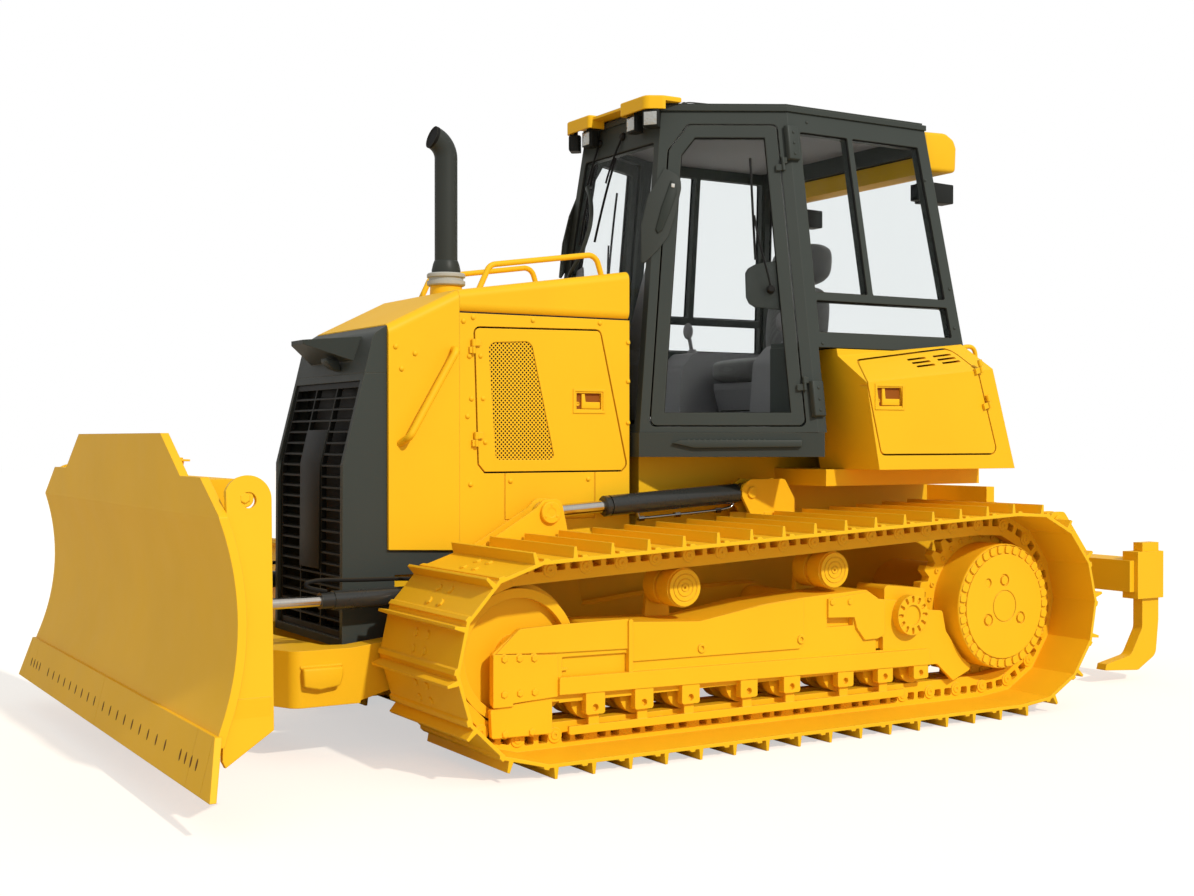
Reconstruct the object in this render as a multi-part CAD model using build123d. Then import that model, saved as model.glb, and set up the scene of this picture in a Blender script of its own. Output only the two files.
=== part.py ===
# Crawler bulldozer with a power-angle-tilt blade and a rear ripper, as an assembly of separate solids.
# Millimetres. +Z is up, the machine faces -Y, and its left side is +X. The ground is z = 0.
import os
from math import acos, asin, atan2, cos, degrees, hypot, pi, radians, sin

from build123d import *

# ---------------------------------------------------------------- driving dimensions
GAP = 0.3                 # seat clearance between pieces that carry each other
SEAM = 8.0                # seam round a door or a lid

# crawler tracks
GAUGE = 2000.0            # from track centre to track centre
SHOE_WIDTH = 760.0
SHOE_COUNT = 44
GROUSER = 47.0
SHOE_PLATE = 16.0
LINK_HEIGHT = 110.0
LINK_ROW = 60.0           # width of one row of links
LINK_SLOT = 80.0          # gap between the two rows of links
LINK_WINDOW = (44.0, 38.0)           # openings in a link, through which its shoe bolts are reached
PIN_BOSS, PIN_BOSS_R = 6.0, 33.0     # how far a pin's end stands out of the links, and its radius
SHOE_LIP = 30.0           # raised rear edge of a shoe, which the next one reaches over
IDLER_Y, SPROCKET_Y = -1490.0, 1270.0
IDLER_REACH = 470.0       # idler centre to grouser tips, which is its height above the ground
SPROCKET_REACH = 535.0
SPROCKET_TEETH = 29
ROLLER_RADIUS = 85.0
ROLLER_YS = (-1143.0, -893.0, -644.0, -320.0, -70.0, 255.0, 505.0, 738.0)
CARRIER_RADIUS = 90.0
CARRIER_YS = (-640.0, 230.0)
FRAME_HALF = 140.0        # half the width of a track frame

# hull, nose and hood
HULL_HALF = 400.0
HULL_FLOOR = 400.0
NOSE_HALF = 438.0
HOOD_HALF = 455.0
HOOD_FLOOR = 775.0
HOOD_SEAM_Y = -1445.0
HOOD_REAR_Y = -520.0
PANEL = 22.0              # thickness of hood panels
CAP_REAR_Y = -1800.0

# cab: half plan at its floor and at its roof, rows of x, y for pillars A, B and C
CAB_FLOOR, CAB_ROOF = 1420.0, 3040.0
CAB_LOW = ((500.0, -490.0), (941.0, 270.0), (941.0, 1357.0))
CAB_HIGH = ((376.0, -279.0), (692.0, 270.0), (692.0, 1201.0))
CAB_WALL = 55.0
CAB_WAIST = 1845.0        # lower edge of the rear side windows' frames
CAB_TUB_HALF = 610.0      # half width of the cab below the waist, behind the doors
GLASS = 8.0
DOOR_THICK = 42.0

# blade, its frame and its cylinders
BLADE_BOTTOM = 147.0
FRAME_PIVOT = (120.0, 580.0)         # y, z of the tube that the C-frame swings on
PIVOT_TUBE_R = 70.0
ARM_X0, ARM_X1 = 484.0, 595.0        # inner and outer face of a push arm
KINGPIN_Y = -2420.0
YOKE_Z = 520.0                       # height of the tilt trunnion
LIFT_LUG = (-1048.0, 1046.0)         # y, z of the pin on the C-frame's lug
LIFT_PIVOT = (120.0, 1118.0)         # y, z of the pin that holds the lift barrel
LIFT_X = 548.0
ANGLE_REAR = (524.0, -1560.0)        # x, y of the angle cylinder's rear pin
ANGLE_FRONT = (571.0, -2670.0)       # x, y of its front pin, with the blade square
ANGLE_Z = 690.0
TILT_BARREL = (-120.0, 860.0)        # x, z of the tilt barrel's pin on the yoke
TILT_EYE = (560.0, 860.0)            # x, z of its rod's pin on the blade
TILT_Y = -2570.0

# ripper
RIPPER_LINK = 620.0
RIPPER_REST = -10.0                  # slope of the links with the ripper parked, degrees
RIPPER_BAR_PIN = (2500.0, 600.0)     # y, z of the lower pins on the toolbar
RIPPER_PIN_RISE = 300.0              # height of the upper pins over the lower ones
RIPPER_ARM_X = 400.0
BAR_HALF = 900.0
SHANK_XS = (-870.0, 0.0, 870.0)


# ---------------------------------------------------------------- shared operations
def outline(rows):
    """Closed flat outline from rows of two coordinates and a corner radius."""
    face = make_face(Polyline(*[(a, b) for a, b, r in rows], close=True))
    for a, b, r in rows:
        if r:
            corner = min(face.vertices(), key=lambda v: hypot(v.X - a, v.Y - b))
            face = fillet(corner, r)
    return face


def side_plate(rows, x0, x1):
    """Plate from an outline of y, z, radius rows, from x0 to x1."""
    return extrude(Plane.YZ.offset(x0) * outline(rows), x1 - x0)


def front_plate(rows, y0, y1):
    """Plate from an outline of x, z, radius rows, from y0 to y1."""
    return extrude(Plane.XZ.offset(-y1) * outline(rows), y1 - y0)


def level_plate(rows, z0, z1):
    """Plate from an outline of x, y, radius rows, from z0 to z1."""
    return extrude(Plane.XY.offset(z0) * outline(rows), z1 - z0)


def block(x0, x1, y0, y1, z0, z1):
    centre = Pos((x0 + x1) / 2, (y0 + y1) / 2, (z0 + z1) / 2)
    return centre * Box(x1 - x0, y1 - y0, z1 - z0)


def rod_x(y, z, radius, x0, x1):
    """Round bar along X."""
    return Plane.YZ.offset(x0) * Pos(y, z) * extrude(Circle(radius), x1 - x0)


def rod_z(x, y, radius, z0, z1):
    """Round bar along Z."""
    return Pos(x, y, z0) * extrude(Circle(radius), z1 - z0)


def rod_between(start, end, radius):
    """Round bar from one point to another."""
    start, end = Vector(*start), Vector(*end)
    along = Plane(origin=start, z_dir=end - start)
    return along * extrude(Circle(radius), (end - start).length)


def flipped(shape):
    """The same piece on the other side of the machine."""
    return mirror(shape, about=Plane.YZ)


def lerp(a, b, t):
    return a + (b - a) * t


PIECES = {}


def keep(name, *shapes):
    solids = [solid for shape in shapes for solid in shape.solids()]
    PIECES[name] = solids[0] if len(solids) == 1 else Compound(children=solids)


def keep_pair(name, *shapes):
    keep(name + "_left", *shapes)
    keep(name + "_right", *[flipped(shape) for shape in shapes])


KNUCKLE, KNUCKLE_R, HINGE_PIN, STAND_OFF = 34.0, 9.0, 4.5, 13.0


def edge_plane(low, high, toward):
    """Plane on a door's hinged edge: local y along the edge, x towards the door, z outwards."""
    low, high = Vector(*low), Vector(*high)
    up = (high - low).normalized()
    outward = Vector(*toward).cross(up)
    if outward.X < 0:
        up, outward = -up, -outward
    return Plane(origin=(low + high) / 2, x_dir=up.cross(outward), z_dir=outward)


def hinge(plane, along):
    """Frame half with its pin, and door half, of a hinge `along` the edge from the plane's origin."""
    back = -SEAM - 8
    spot = plane * Pos(back, along, STAND_OFF)
    turn = Rot(-90, 0, 0)

    def bar(radius, start, end):
        return spot * Pos(0, start, 0) * turn * extrude(Circle(radius), end - start)

    frame = bar(KNUCKLE_R, -KNUCKLE, -1) + bar(HINGE_PIN, -2, KNUCKLE - 4)
    frame += spot * Pos(-10, -KNUCKLE / 2, -7) * Box(20, KNUCKLE - 4, 16)
    door = bar(KNUCKLE_R, 0, KNUCKLE) + spot * Pos(19, KNUCKLE / 2, -3.5) * Box(38, KNUCKLE - 4, 9)
    door += spot * Pos(29, KNUCKLE / 2, -7) * Box(18, KNUCKLE - 4, 16)
    return frame, door - bar(HINGE_PIN + 0.4, -1, KNUCKLE - 3)


# ---------------------------------------------------------------- crawler tracks
CENTRE_X = GAUGE / 2
PIN_Z = GROUSER + SHOE_PLATE + LINK_HEIGHT / 2
IDLER_PIN_R = IDLER_REACH - PIN_Z
SPROCKET_PIN_R = SPROCKET_REACH - PIN_Z
SPAN = hypot(SPROCKET_Y - IDLER_Y, SPROCKET_REACH - IDLER_REACH)
SLOPE = atan2(SPROCKET_REACH - IDLER_REACH, SPROCKET_Y - IDLER_Y)
LEAVE = SLOPE + acos((IDLER_REACH - SPROCKET_REACH) / SPAN)     # where the top run leaves the sprocket
FLAT = SPROCKET_Y - IDLER_Y
REAR_ARC = SPROCKET_PIN_R * (LEAVE + pi / 2)
FRONT_ARC = IDLER_PIN_R * (1.5 * pi - LEAVE)
LOOP = 2 * FLAT + REAR_ARC + FRONT_ARC
PITCH = LOOP / SHOE_COUNT


def on_loop(travel, out):
    """y, z of a point that lies `out` outside the pin line, at a travel along it."""
    travel = travel % LOOP
    if travel < FLAT:
        return IDLER_Y + travel, PIN_Z - out
    travel -= FLAT
    if travel < REAR_ARC:
        turn = -pi / 2 + travel / SPROCKET_PIN_R
        reach = SPROCKET_PIN_R + out
        return SPROCKET_Y + reach * cos(turn), SPROCKET_REACH + reach * sin(turn)
    travel -= REAR_ARC
    if travel < FLAT:
        part = travel / FLAT
        y0 = SPROCKET_Y + (SPROCKET_PIN_R + out) * cos(LEAVE)
        z0 = SPROCKET_REACH + (SPROCKET_PIN_R + out) * sin(LEAVE)
        y1 = IDLER_Y + (IDLER_PIN_R + out) * cos(LEAVE)
        z1 = IDLER_REACH + (IDLER_PIN_R + out) * sin(LEAVE)
        return y0 + (y1 - y0) * part, z0 + (z1 - z0) * part
    turn = LEAVE + (travel - FLAT) / IDLER_PIN_R
    reach = IDLER_PIN_R + out
    return IDLER_Y + reach * cos(turn), IDLER_REACH + reach * sin(turn)


def ring(out):
    return [on_loop(k * PITCH, out) for k in range(SHOE_COUNT)]


def on_chord(k, part, out):
    """y, z of a point on link k, at a part of its length from its first pin, `out` outside its pin line."""
    y0, z0 = on_loop(k * PITCH, out)
    y1, z1 = on_loop((k + 1) * PITCH, out)
    return lerp(y0, y1, part), lerp(z0, z1, part)


def chord_turn(k):
    """Slope of link k, in degrees."""
    y0, z0 = on_loop(k * PITCH, 0)
    y1, z1 = on_loop((k + 1) * PITCH, 0)
    return degrees(atan2(z1 - z0, y1 - y0))


def track():
    plate_out = PIN_Z - GROUSER
    outer = []
    corners = ring(plate_out)
    for k, (y0, z0) in enumerate(corners):
        y1, z1 = corners[(k + 1) % SHOE_COUNT]
        length = hypot(y1 - y0, z1 - z0)
        ay, az = (y1 - y0) / length, (z1 - z0) / length
        outer.append((y0, z0))
        lip = length - SHOE_LIP
        for along, lift in ((20, 0), (24, GROUSER), (36, GROUSER), (42, 0), (lip, 0), (lip + 8, 9), (length - 1, 9)):
            outer.append((y0 + ay * along + az * lift, z0 + az * along - ay * lift))
    shoes = make_face(Polyline(*outer, close=True))
    shoes -= make_face(Polyline(*ring(plate_out - SHOE_PLATE), close=True))
    loop = Plane.YZ.offset(CENTRE_X - SHOE_WIDTH / 2) * shoes
    solid = extrude(loop, SHOE_WIDTH)
    links = make_face(Polyline(*ring(plate_out - SHOE_PLATE + 4), close=True))
    links -= make_face(Polyline(*ring(plate_out - SHOE_PLATE - LINK_HEIGHT), close=True))
    window = RectangleRounded(*LINK_WINDOW, 8)
    for k in range(SHOE_COUNT):
        for part in (0.31, 0.69):
            links -= Pos(*on_chord(k, part, 12)) * Rot(0, 0, chord_turn(k)) * window
    bosses = Sketch() + [Pos(*on_chord(k, 0, 0)) * Circle(PIN_BOSS_R) for k in range(SHOE_COUNT)]
    for side in (-1, 1):
        row = CENTRE_X + side * (LINK_SLOT + LINK_ROW) / 2
        solid += extrude(Plane.YZ.offset(row - LINK_ROW / 2) * links, LINK_ROW)
        boss_x = row + side * (LINK_ROW + PIN_BOSS) / 2
        solid += extrude(Plane.YZ.offset(boss_x - PIN_BOSS / 2 - side) * bosses, PIN_BOSS)
    return solid


keep_pair("track", track())

RAIL_OUT = -LINK_HEIGHT / 2
ROLLER_Z = PIN_Z - RAIL_OUT + ROLLER_RADIUS + GAP
RIM_IN, RIM_OUT = LINK_SLOT / 2, LINK_SLOT / 2 + LINK_ROW
AXLE_HALF = FRAME_HALF - 20 - GAP


def roller(y, z, radius, groove):
    """Double-flanged wheel on its axle; groove is its radius between the link rows."""
    wheel = rod_x(y, z, 28, CENTRE_X - AXLE_HALF, CENTRE_X + AXLE_HALF)
    wheel += rod_x(y, z, groove, CENTRE_X - RIM_OUT + 2, CENTRE_X + RIM_OUT - 2)
    for side in (-1, 1):
        x0, x1 = sorted((CENTRE_X + side * RIM_IN, CENTRE_X + side * RIM_OUT))
        wheel += rod_x(y, z, radius, x0, x1)
    return wheel


def top_rail_z(y):
    """Height of the underside of the top run's links."""
    y0, z0 = on_loop(FLAT + REAR_ARC, RAIL_OUT)
    y1, z1 = on_loop(FLAT + REAR_ARC + FLAT * 0.999, RAIL_OUT)
    return z0 + (z1 - z0) * (y - y0) / (y1 - y0)


CARRIER_ZS = [top_rail_z(y) - CARRIER_RADIUS / cos(LEAVE - pi / 2) - GAP for y in CARRIER_YS]
IDLER_R = (IDLER_PIN_R + RAIL_OUT) * cos(PITCH / 2 / IDLER_PIN_R) - GAP
CARRIER_POST_X = CENTRE_X - FRAME_HALF


def idler():
    wheel = rod_x(IDLER_Y, IDLER_REACH, 45, CENTRE_X - AXLE_HALF, CENTRE_X + AXLE_HALF)
    wheel += rod_x(IDLER_Y, IDLER_REACH, IDLER_R, CENTRE_X - RIM_OUT, CENTRE_X + RIM_OUT)
    wheel += rod_x(IDLER_Y, IDLER_REACH, IDLER_R + 24, CENTRE_X - RIM_IN + 4, CENTRE_X + RIM_IN - 4)
    for side in (-1, 1):
        x0, x1 = sorted((CENTRE_X + side * 60, CENTRE_X + side * RIM_OUT))
        wheel -= rod_x(IDLER_Y, IDLER_REACH, IDLER_R - 40, x0, x1) - rod_x(IDLER_Y, IDLER_REACH, 90, x0, x1)
    return wheel


def carrier(y, z):
    axle_start = CARRIER_POST_X + 24
    wheel = rod_x(y, z, 30, axle_start, CENTRE_X + RIM_OUT)
    wheel += rod_x(y, z, CARRIER_RADIUS, CENTRE_X - RIM_OUT, CENTRE_X + RIM_OUT)
    groove = rod_x(y, z, CARRIER_RADIUS, CENTRE_X - 12, CENTRE_X + 12)
    wheel -= groove - rod_x(y, z, CARRIER_RADIUS - 14, CENTRE_X - 12, CENTRE_X + 12)
    cap_x = CENTRE_X + RIM_OUT + 14
    wheel += rod_x(y, z, CARRIER_RADIUS - 6, CENTRE_X + RIM_OUT, cap_x)
    for outer in (66, 44, 22):
        wheel -= rod_x(y, z, outer, cap_x - 3, cap_x) - rod_x(y, z, outer - 5, cap_x - 3, cap_x)
    return wheel - rod_x(y, z, 6, cap_x - 12, cap_x)


wheels = [roller(y, ROLLER_Z, ROLLER_RADIUS, ROLLER_RADIUS - 22) for y in ROLLER_YS]
wheels += [carrier(y, z) for y, z in zip(CARRIER_YS, CARRIER_ZS)]
wheels.append(idler())
keep("rollers_and_idlers", *wheels, *[flipped(wheel) for wheel in wheels])

# ---------------------------------------------------------------- final drives
DRIVE = (SPROCKET_Y, SPROCKET_REACH)
HUB_FACE_X = 1208.0
HUB_RADIUS = 318.0
HUB_LUGS, HUB_LUG_R = 34, 262.0          # bolt pads round the hub, and the radius of their ring
HUB_PLUGS = (90.0, 210.0, 330.0)         # where the oil plugs are, in degrees


def sprocket():
    ring_face = Circle(SPROCKET_PIN_R - 40)
    tooth = outline([(-14, 0, 0), (14, 0, 0), (30, -48, 0), (-30, -48, 0)])
    for k in range(SPROCKET_TEETH):
        turn = 360 * k / SPROCKET_TEETH
        ring_face += Rot(0, 0, turn) * Pos(0, SPROCKET_PIN_R + 4) * tooth
    place = Plane.YZ.offset(CENTRE_X - 26) * Pos(*DRIVE)
    drive = place * extrude(ring_face, 52)
    drive += rod_x(*DRIVE, 190, HULL_HALF + GAP, CENTRE_X)
    drive += rod_x(*DRIVE, 285, CENTRE_X - 90, CENTRE_X)
    drive += rod_x(*DRIVE, HUB_RADIUS, CENTRE_X, HUB_FACE_X)
    drive = fillet(drive.edges().filter_by(GeomType.CIRCLE).sort_by(Axis.X)[-1], 14)
    face = Plane.YZ.offset(HUB_FACE_X - 9) * Pos(*DRIVE)
    pads = Sketch() + [Rot(0, 0, 360 * k / HUB_LUGS) * Pos(HUB_LUG_R + 28, 0) * RectangleRounded(40, 36, 12)
                       for k in range(HUB_LUGS)]
    drive -= face * extrude(Circle(HUB_LUG_R + 50) - Circle(HUB_LUG_R + 4), 9)
    drive += face * extrude(pads, 9)
    plugs = Sketch() + [Rot(0, 0, turn) * Pos(132, 0) * Circle(32) for turn in HUB_PLUGS]
    plugs += Rot(0, 0, 133) * Pos(168, 0) * Circle(23)
    drive -= Plane.YZ.offset(HUB_FACE_X - 8) * Pos(*DRIVE) * extrude(plugs, 8)
    bolts = Sketch() + [Rot(0, 0, turn) * Pos(132, 0) * Circle(22) for turn in HUB_PLUGS]
    drive += Plane.YZ.offset(HUB_FACE_X - 9) * Pos(*DRIVE) * extrude(bolts, 11)
    drive -= rod_x(*DRIVE, 82, HUB_FACE_X - 4, HUB_FACE_X)
    drive += rod_x(*DRIVE, 77, HUB_FACE_X - 5, HUB_FACE_X)
    return drive


left_drive = sprocket()
keep("final_drives", left_drive, flipped(left_drive))

# ---------------------------------------------------------------- track frames
FRAME_X0, FRAME_X1 = CENTRE_X - FRAME_HALF, CENTRE_X + FRAME_HALF
PIVOT_SHAFT = (668.0, 522.0)


def track_frame():
    box = side_plate([
        (-1150, 362, 0), (-1150, 592, 20), (-584, 566, 0), (-223, 622, 60), (16, 640, 0), (403, 658, 40),
        (487, 608, 0), (720, 580, 40), (820, 440, 0), (780, 362, 0)], FRAME_X0, FRAME_X1)
    skirt = [(-1310, 262, 0), (-1310, 594, 0), (-1140, 590, 0), (-1140, 380, 0), (700, 380, 0), (700, 575, 0),
             (820, 535, 0), (905, 528, 20), (929, 424, 0), (1037, 284, 0), (1119, 225, 20), (979, 170, 0),
             (870, 262, 0)]
    for x0 in (FRAME_X0, FRAME_X1 - 20):
        box += side_plate(skirt, x0, x0 + 20)
        box += side_plate([
            (-1632, 269, 20), (-1632, 490, 20), (-1505, 590, 40), (-1300, 594, 0), (-1300, 269, 0)], x0, x0 + 20)
    box -= side_plate([(-1296, 352, 8), (-1296, 456, 8), (-968, 452, 8), (-968, 345, 8)], FRAME_X1 - 12, FRAME_X1 + 1)
    box += side_plate([(-1296, 398, 0), (-1296, 408, 0), (-1268, 408, 0), (-1268, 398, 0)], FRAME_X1 - 13, FRAME_X1)
    # bracket of the idler, the rib behind it, and the guard below
    box += side_plate([(-1632, 269, 6), (-1632, 492, 6), (-1323, 470, 6), (-1323, 292, 6), (-1538, 282, 0),
                       (-1538, 269, 0)], FRAME_X1, FRAME_X1 + 14)
    box += side_plate([(-1616, 492, 0), (-1505, 590, 30), (-1300, 598, 0), (-966, 600, 0), (-966, 470, 0),
                       (-1323, 478, 0)], FRAME_X1, FRAME_X1 + 8)
    box += side_plate([(-968, 340, 0), (-968, 600, 10), (-946, 598, 8), (-946, 340, 0)], FRAME_X1, FRAME_X1 + 18)
    box += side_plate([(-1640, 262, 10), (-1400, 290, 0), (-1346, 290, 0), (-1346, 136, 10), (-1633, 140, 10)],
                      FRAME_X1 - 20, FRAME_X1 + 4)
    # long channel over the rollers
    channel = side_plate([(-1323, 300, 0), (-1323, 374, 8), (790, 346, 8), (796, 268, 0)], FRAME_X1, FRAME_X1 + 30)
    box += channel
    # cover with its two eyes, and the stepped cover over the recoil spring's mount
    box += side_plate([(-944, 412, 12), (-944, 586, 0), (-584, 566, 0), (-223, 620, 0), (14, 634, 0), (14, 420, 30),
                       (-10, 402, 12)], FRAME_X1, FRAME_X1 + 8)
    for y, z in ((-574, 445), (-4, 446)):
        box += rod_x(y, z, 21, FRAME_X1, FRAME_X1 + 15) - rod_x(y, z, 10, FRAME_X1 + 6, FRAME_X1 + 15)
    for y0, y1, z0, z1 in ((160, 321, 490, 536), (466, 512, 356, 420)):
        box -= block(FRAME_X1 - 30, FRAME_X1 + 1, y0, y1, z0, z1)
    box += side_plate([(160, 626, 0), (160, 537, 4), (321, 530, 0), (338, 476, 20), (387, 416, 12), (466, 417, 12),
                       (514, 433, 12), (514, 594, 0), (487, 600, 0), (403, 648, 0)], FRAME_X1, FRAME_X1 + 12)
    # lower guard, which hangs from the rollers' brackets
    guard = side_plate([(-1268, 122, 10), (-1268, 158, 0), (640, 158, 0), (640, 122, 10)], FRAME_X1, FRAME_X1 + 14)
    for y in ROLLER_YS[:-1]:
        guard += block(FRAME_X1, FRAME_X1 + 10, y - 26, y + 26, 150, 300)
    box += guard
    for y in ROLLER_YS:
        box += side_plate([(y - 48, 202, 12), (y - 48, 300, 0), (y + 48, 300, 0), (y + 48, 202, 12)],
                          FRAME_X1 - 12, FRAME_X1 + 26)
        box -= rod_x(y, 231, 15, FRAME_X1 + 8, FRAME_X1 + 27)
    # cap of the pivot shaft, with its ring of lugs
    box += rod_x(*PIVOT_SHAFT, 98, FRAME_X1, FRAME_X1 + 45)
    box -= rod_x(*PIVOT_SHAFT, 50, FRAME_X1 + 36, FRAME_X1 + 45)
    lugs = Sketch() + [Rot(0, 0, 30 * k) * Pos(78, 0) * SlotOverall(34, 17) for k in range(12)]
    box -= Plane.YZ.offset(FRAME_X1 + 33) * Pos(*PIVOT_SHAFT) * extrude(lugs, 14)
    box += side_plate([(560, 560, 0), (560, 668, 24), (828, 640, 12), (828, 500, 0)], FRAME_X0 + 30, FRAME_X1 - 44)
    for y, z in zip(CARRIER_YS, CARRIER_ZS):
        box += side_plate([(y - 70, 560, 0), (y - 48, z + 45, 20), (y + 48, z + 45, 20), (y + 70, 560, 0)],
                          CARRIER_POST_X, CARRIER_POST_X + 24 - GAP)
    return box


left_frame = track_frame()
keep("track_frames", left_frame, flipped(left_frame))

# ---------------------------------------------------------------- hull
REAR_WALL_Y = 1760.0
hull = side_plate([
    (-1760, 460, 0), (-1760, HOOD_FLOOR - GAP, 0), (-560, HOOD_FLOOR - GAP, 0), (-420, 1018, 0),
    (REAR_WALL_Y, 1018, 0), (REAR_WALL_Y, 520, 0), (1600, HULL_FLOOR, 0), (-1640, HULL_FLOOR, 0)],
    -HULL_HALF, HULL_HALF)
hull += rod_x(*FRAME_PIVOT, PIVOT_TUBE_R, -FRAME_X0 + GAP, FRAME_X0 - GAP)
hull += rod_x(*PIVOT_SHAFT, 60, -FRAME_X0 + GAP, FRAME_X0 - GAP)
EYE_HALF = 30.0           # half width of a lift cylinder's eyes
EAR = 18.0                # thickness of the ears that hold them
ear_in = LIFT_X - EYE_HALF - 5
lift_ears = level_plate([(HULL_HALF - 5, 130, 0), (ear_in - EAR, 60, 0), (ear_in + 76 + EAR, 200, 0),
                         (ear_in + 76 + EAR, 380, 0), (HULL_HALF - 5, 430, 0)], 960, 1017)
lift_ears &= block(0, 612, 0, 500, 900, 1100)
cheek_rows = [(60, 1098, 30), (60, 1150, 40), (110, 1185, 40), (330, 1185, 30), (395, 1080, 30), (395, 960, 0),
              (140, 960, 0)]
for x0 in (ear_in - EAR, LIFT_X + EYE_HALF + 5):
    lift_ears += side_plate(cheek_rows, x0, x0 + EAR)
lift_ears += side_plate([(215, 960, 0), (215, 1180, 0), (330, 1180, 0), (390, 1080, 0), (390, 960, 0)],
                        ear_in - 2, LIFT_X + EYE_HALF + 7)
lift_ears += rod_x(*LIFT_PIVOT, 28, ear_in - EAR - 10, LIFT_X + EYE_HALF + 5 + EAR + 10)
hull += lift_ears
hull += flipped(lift_ears)
keep("main_frame", hull)

ENGINE_HALF = 300.0
engine = block(-ENGINE_HALF, ENGINE_HALF, -1380, -600, HOOD_FLOOR, 1700)
engine += block(-180, 180, -1330, -700, 1700, 1830)
keep("engine_block", engine)

# ---------------------------------------------------------------- nose
NOSE_ROWS = [(-2014, 462, 0), (-2009, 1272, 0), (-1905, 1684, 0)]
SHELL_REAR_Y = -1798.0 - GAP
STRIP_TOP = ((SHELL_REAR_Y, 890.0), (HOOD_SEAM_Y - GAP, 876.0))
nose_side = NOSE_ROWS + [(SHELL_REAR_Y, 1684, 0), (*STRIP_TOP[0], 0), (*STRIP_TOP[1], 0),
                         (HOOD_SEAM_Y - GAP, HOOD_FLOOR, 0),
                         (-1762, HOOD_FLOOR, 0), (-1762, 462, 0)]
nose = side_plate([(y, z, 0) for y, z, r in nose_side], -NOSE_HALF, NOSE_HALF)
nose -= side_plate([
    (-2100, 500, 0), (-2100, 1650, 0), (-1700, 1650, 0), (-1700, 500, 0)], -NOSE_HALF + 30, NOSE_HALF - 30)
nose -= block(-HULL_HALF - GAP, HULL_HALF + GAP, -1765, -1400, 450, 900)
keep("nose_shell", nose)

CAP_ROWS = [(-1905, 1684.3, 0), (-1862, 1860, 60), (SHELL_REAR_Y, 1900, 0), (SHELL_REAR_Y, 1684.3, 0)]
cap = side_plate(CAP_ROWS, -NOSE_HALF, NOSE_HALF)
cap -= side_plate([(-1870, 1600, 0), (-1838, 1830, 0), (-1700, 1870, 0), (-1700, 1600, 0)],
                  -NOSE_HALF + PANEL, NOSE_HALF - PANEL)
visor = level_plate([(-80, -2060, 15), (80, -2060, 15), (300, -1860, 0), (-300, -1860, 0)], 1700, 1880)
cap += visor & side_plate([(-2070, 1830, 0), (-2070, 1845, 0), (-1860, 1855, 0), (-1880, 1740, 0)], -320, 320)
keep("nose_cap", cap)

GRILLE_HALF = 385.0
grille = side_plate([
    (-1998, 500 + GAP, 0), (-1993, 1272, 0), (-1905, 1650 - GAP, 0), (-1880, 1650 - GAP, 0),
    (-1968, 1272, 0), (-1973, 500 + GAP, 0)], -NOSE_HALF + 30 + GAP, NOSE_HALF - 30 - GAP)
window = side_plate([(-2050, 530, 0), (-2050, 1620, 0), (-1850, 1620, 0), (-1850, 530, 0)],
                    -GRILLE_HALF, GRILLE_HALF)
frame_only = grille - window
SLATS = 22
for k in range(1, SLATS):
    z = 530 + (1620 - 530) * k / SLATS
    slat = side_plate([(-2050, z - 22, 0), (-2050, z - 14, 0), (-1850, z + 22, 0), (-1850, z + 14, 0)],
                      -GRILLE_HALF - 5, GRILLE_HALF + 5)
    frame_only += grille & slat
for x in (-130, 130):
    frame_only += grille & block(x - 6, x + 6, -2050, -1850, 520, 1630)
keep("nose_grille", frame_only)

# ---------------------------------------------------------------- hood
HOOD_TOP_ROWS = {"front": (-1798.0, 1905.0), "seam": (HOOD_SEAM_Y, 2078.0), "rear": (HOOD_REAR_Y, 2212.0)}
front_y, front_z = HOOD_TOP_ROWS["front"]
seam_y, seam_z = HOOD_TOP_ROWS["seam"]
rear_y, rear_z = HOOD_TOP_ROWS["rear"]


def channel(rows, inner_rows):
    """Inverted U of sheet, the width of the hood, from an outer and an inner side outline."""
    shell = side_plate(rows, -HOOD_HALF, HOOD_HALF)
    crown = [edge for edge in shell.edges().filter_by(Plane.YZ)
             if edge.center().Z > 1880 and abs(edge.tangent_at(0.5).Y) > 0.5]
    shell = fillet(crown, 42)
    return shell - side_plate(inner_rows, -HOOD_HALF + PANEL, HOOD_HALF - PANEL)


hood_front = channel(
    [(front_y, STRIP_TOP[0][1] + GAP, 0), (front_y, front_z, 0), (seam_y - GAP, seam_z, 0),
     (seam_y - GAP, STRIP_TOP[1][1] + GAP, 0)],
    [(front_y - 9, 800, 0), (front_y - 9, front_z - PANEL, 0), (seam_y + 9, seam_z - PANEL, 0), (seam_y + 9, 800, 0)])
SIDE_SEAM_Z = 1970.0
hood_top = channel(
    [(seam_y, SIDE_SEAM_Z, 0), (seam_y, seam_z, 0), (rear_y, rear_z, 0), (rear_y, SIDE_SEAM_Z, 0)],
    [(seam_y - 9, 1900, 0), (seam_y - 9, seam_z - PANEL, 0), (rear_y + 9, rear_z - PANEL, 0), (rear_y + 9, 1900, 0)])
keep("hood_front", hood_front)

EXHAUST = (0.0, -1296.0)
hood_top -= rod_z(*EXHAUST, 62, 2000, 2400)
keep("hood_top", hood_top)

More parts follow.
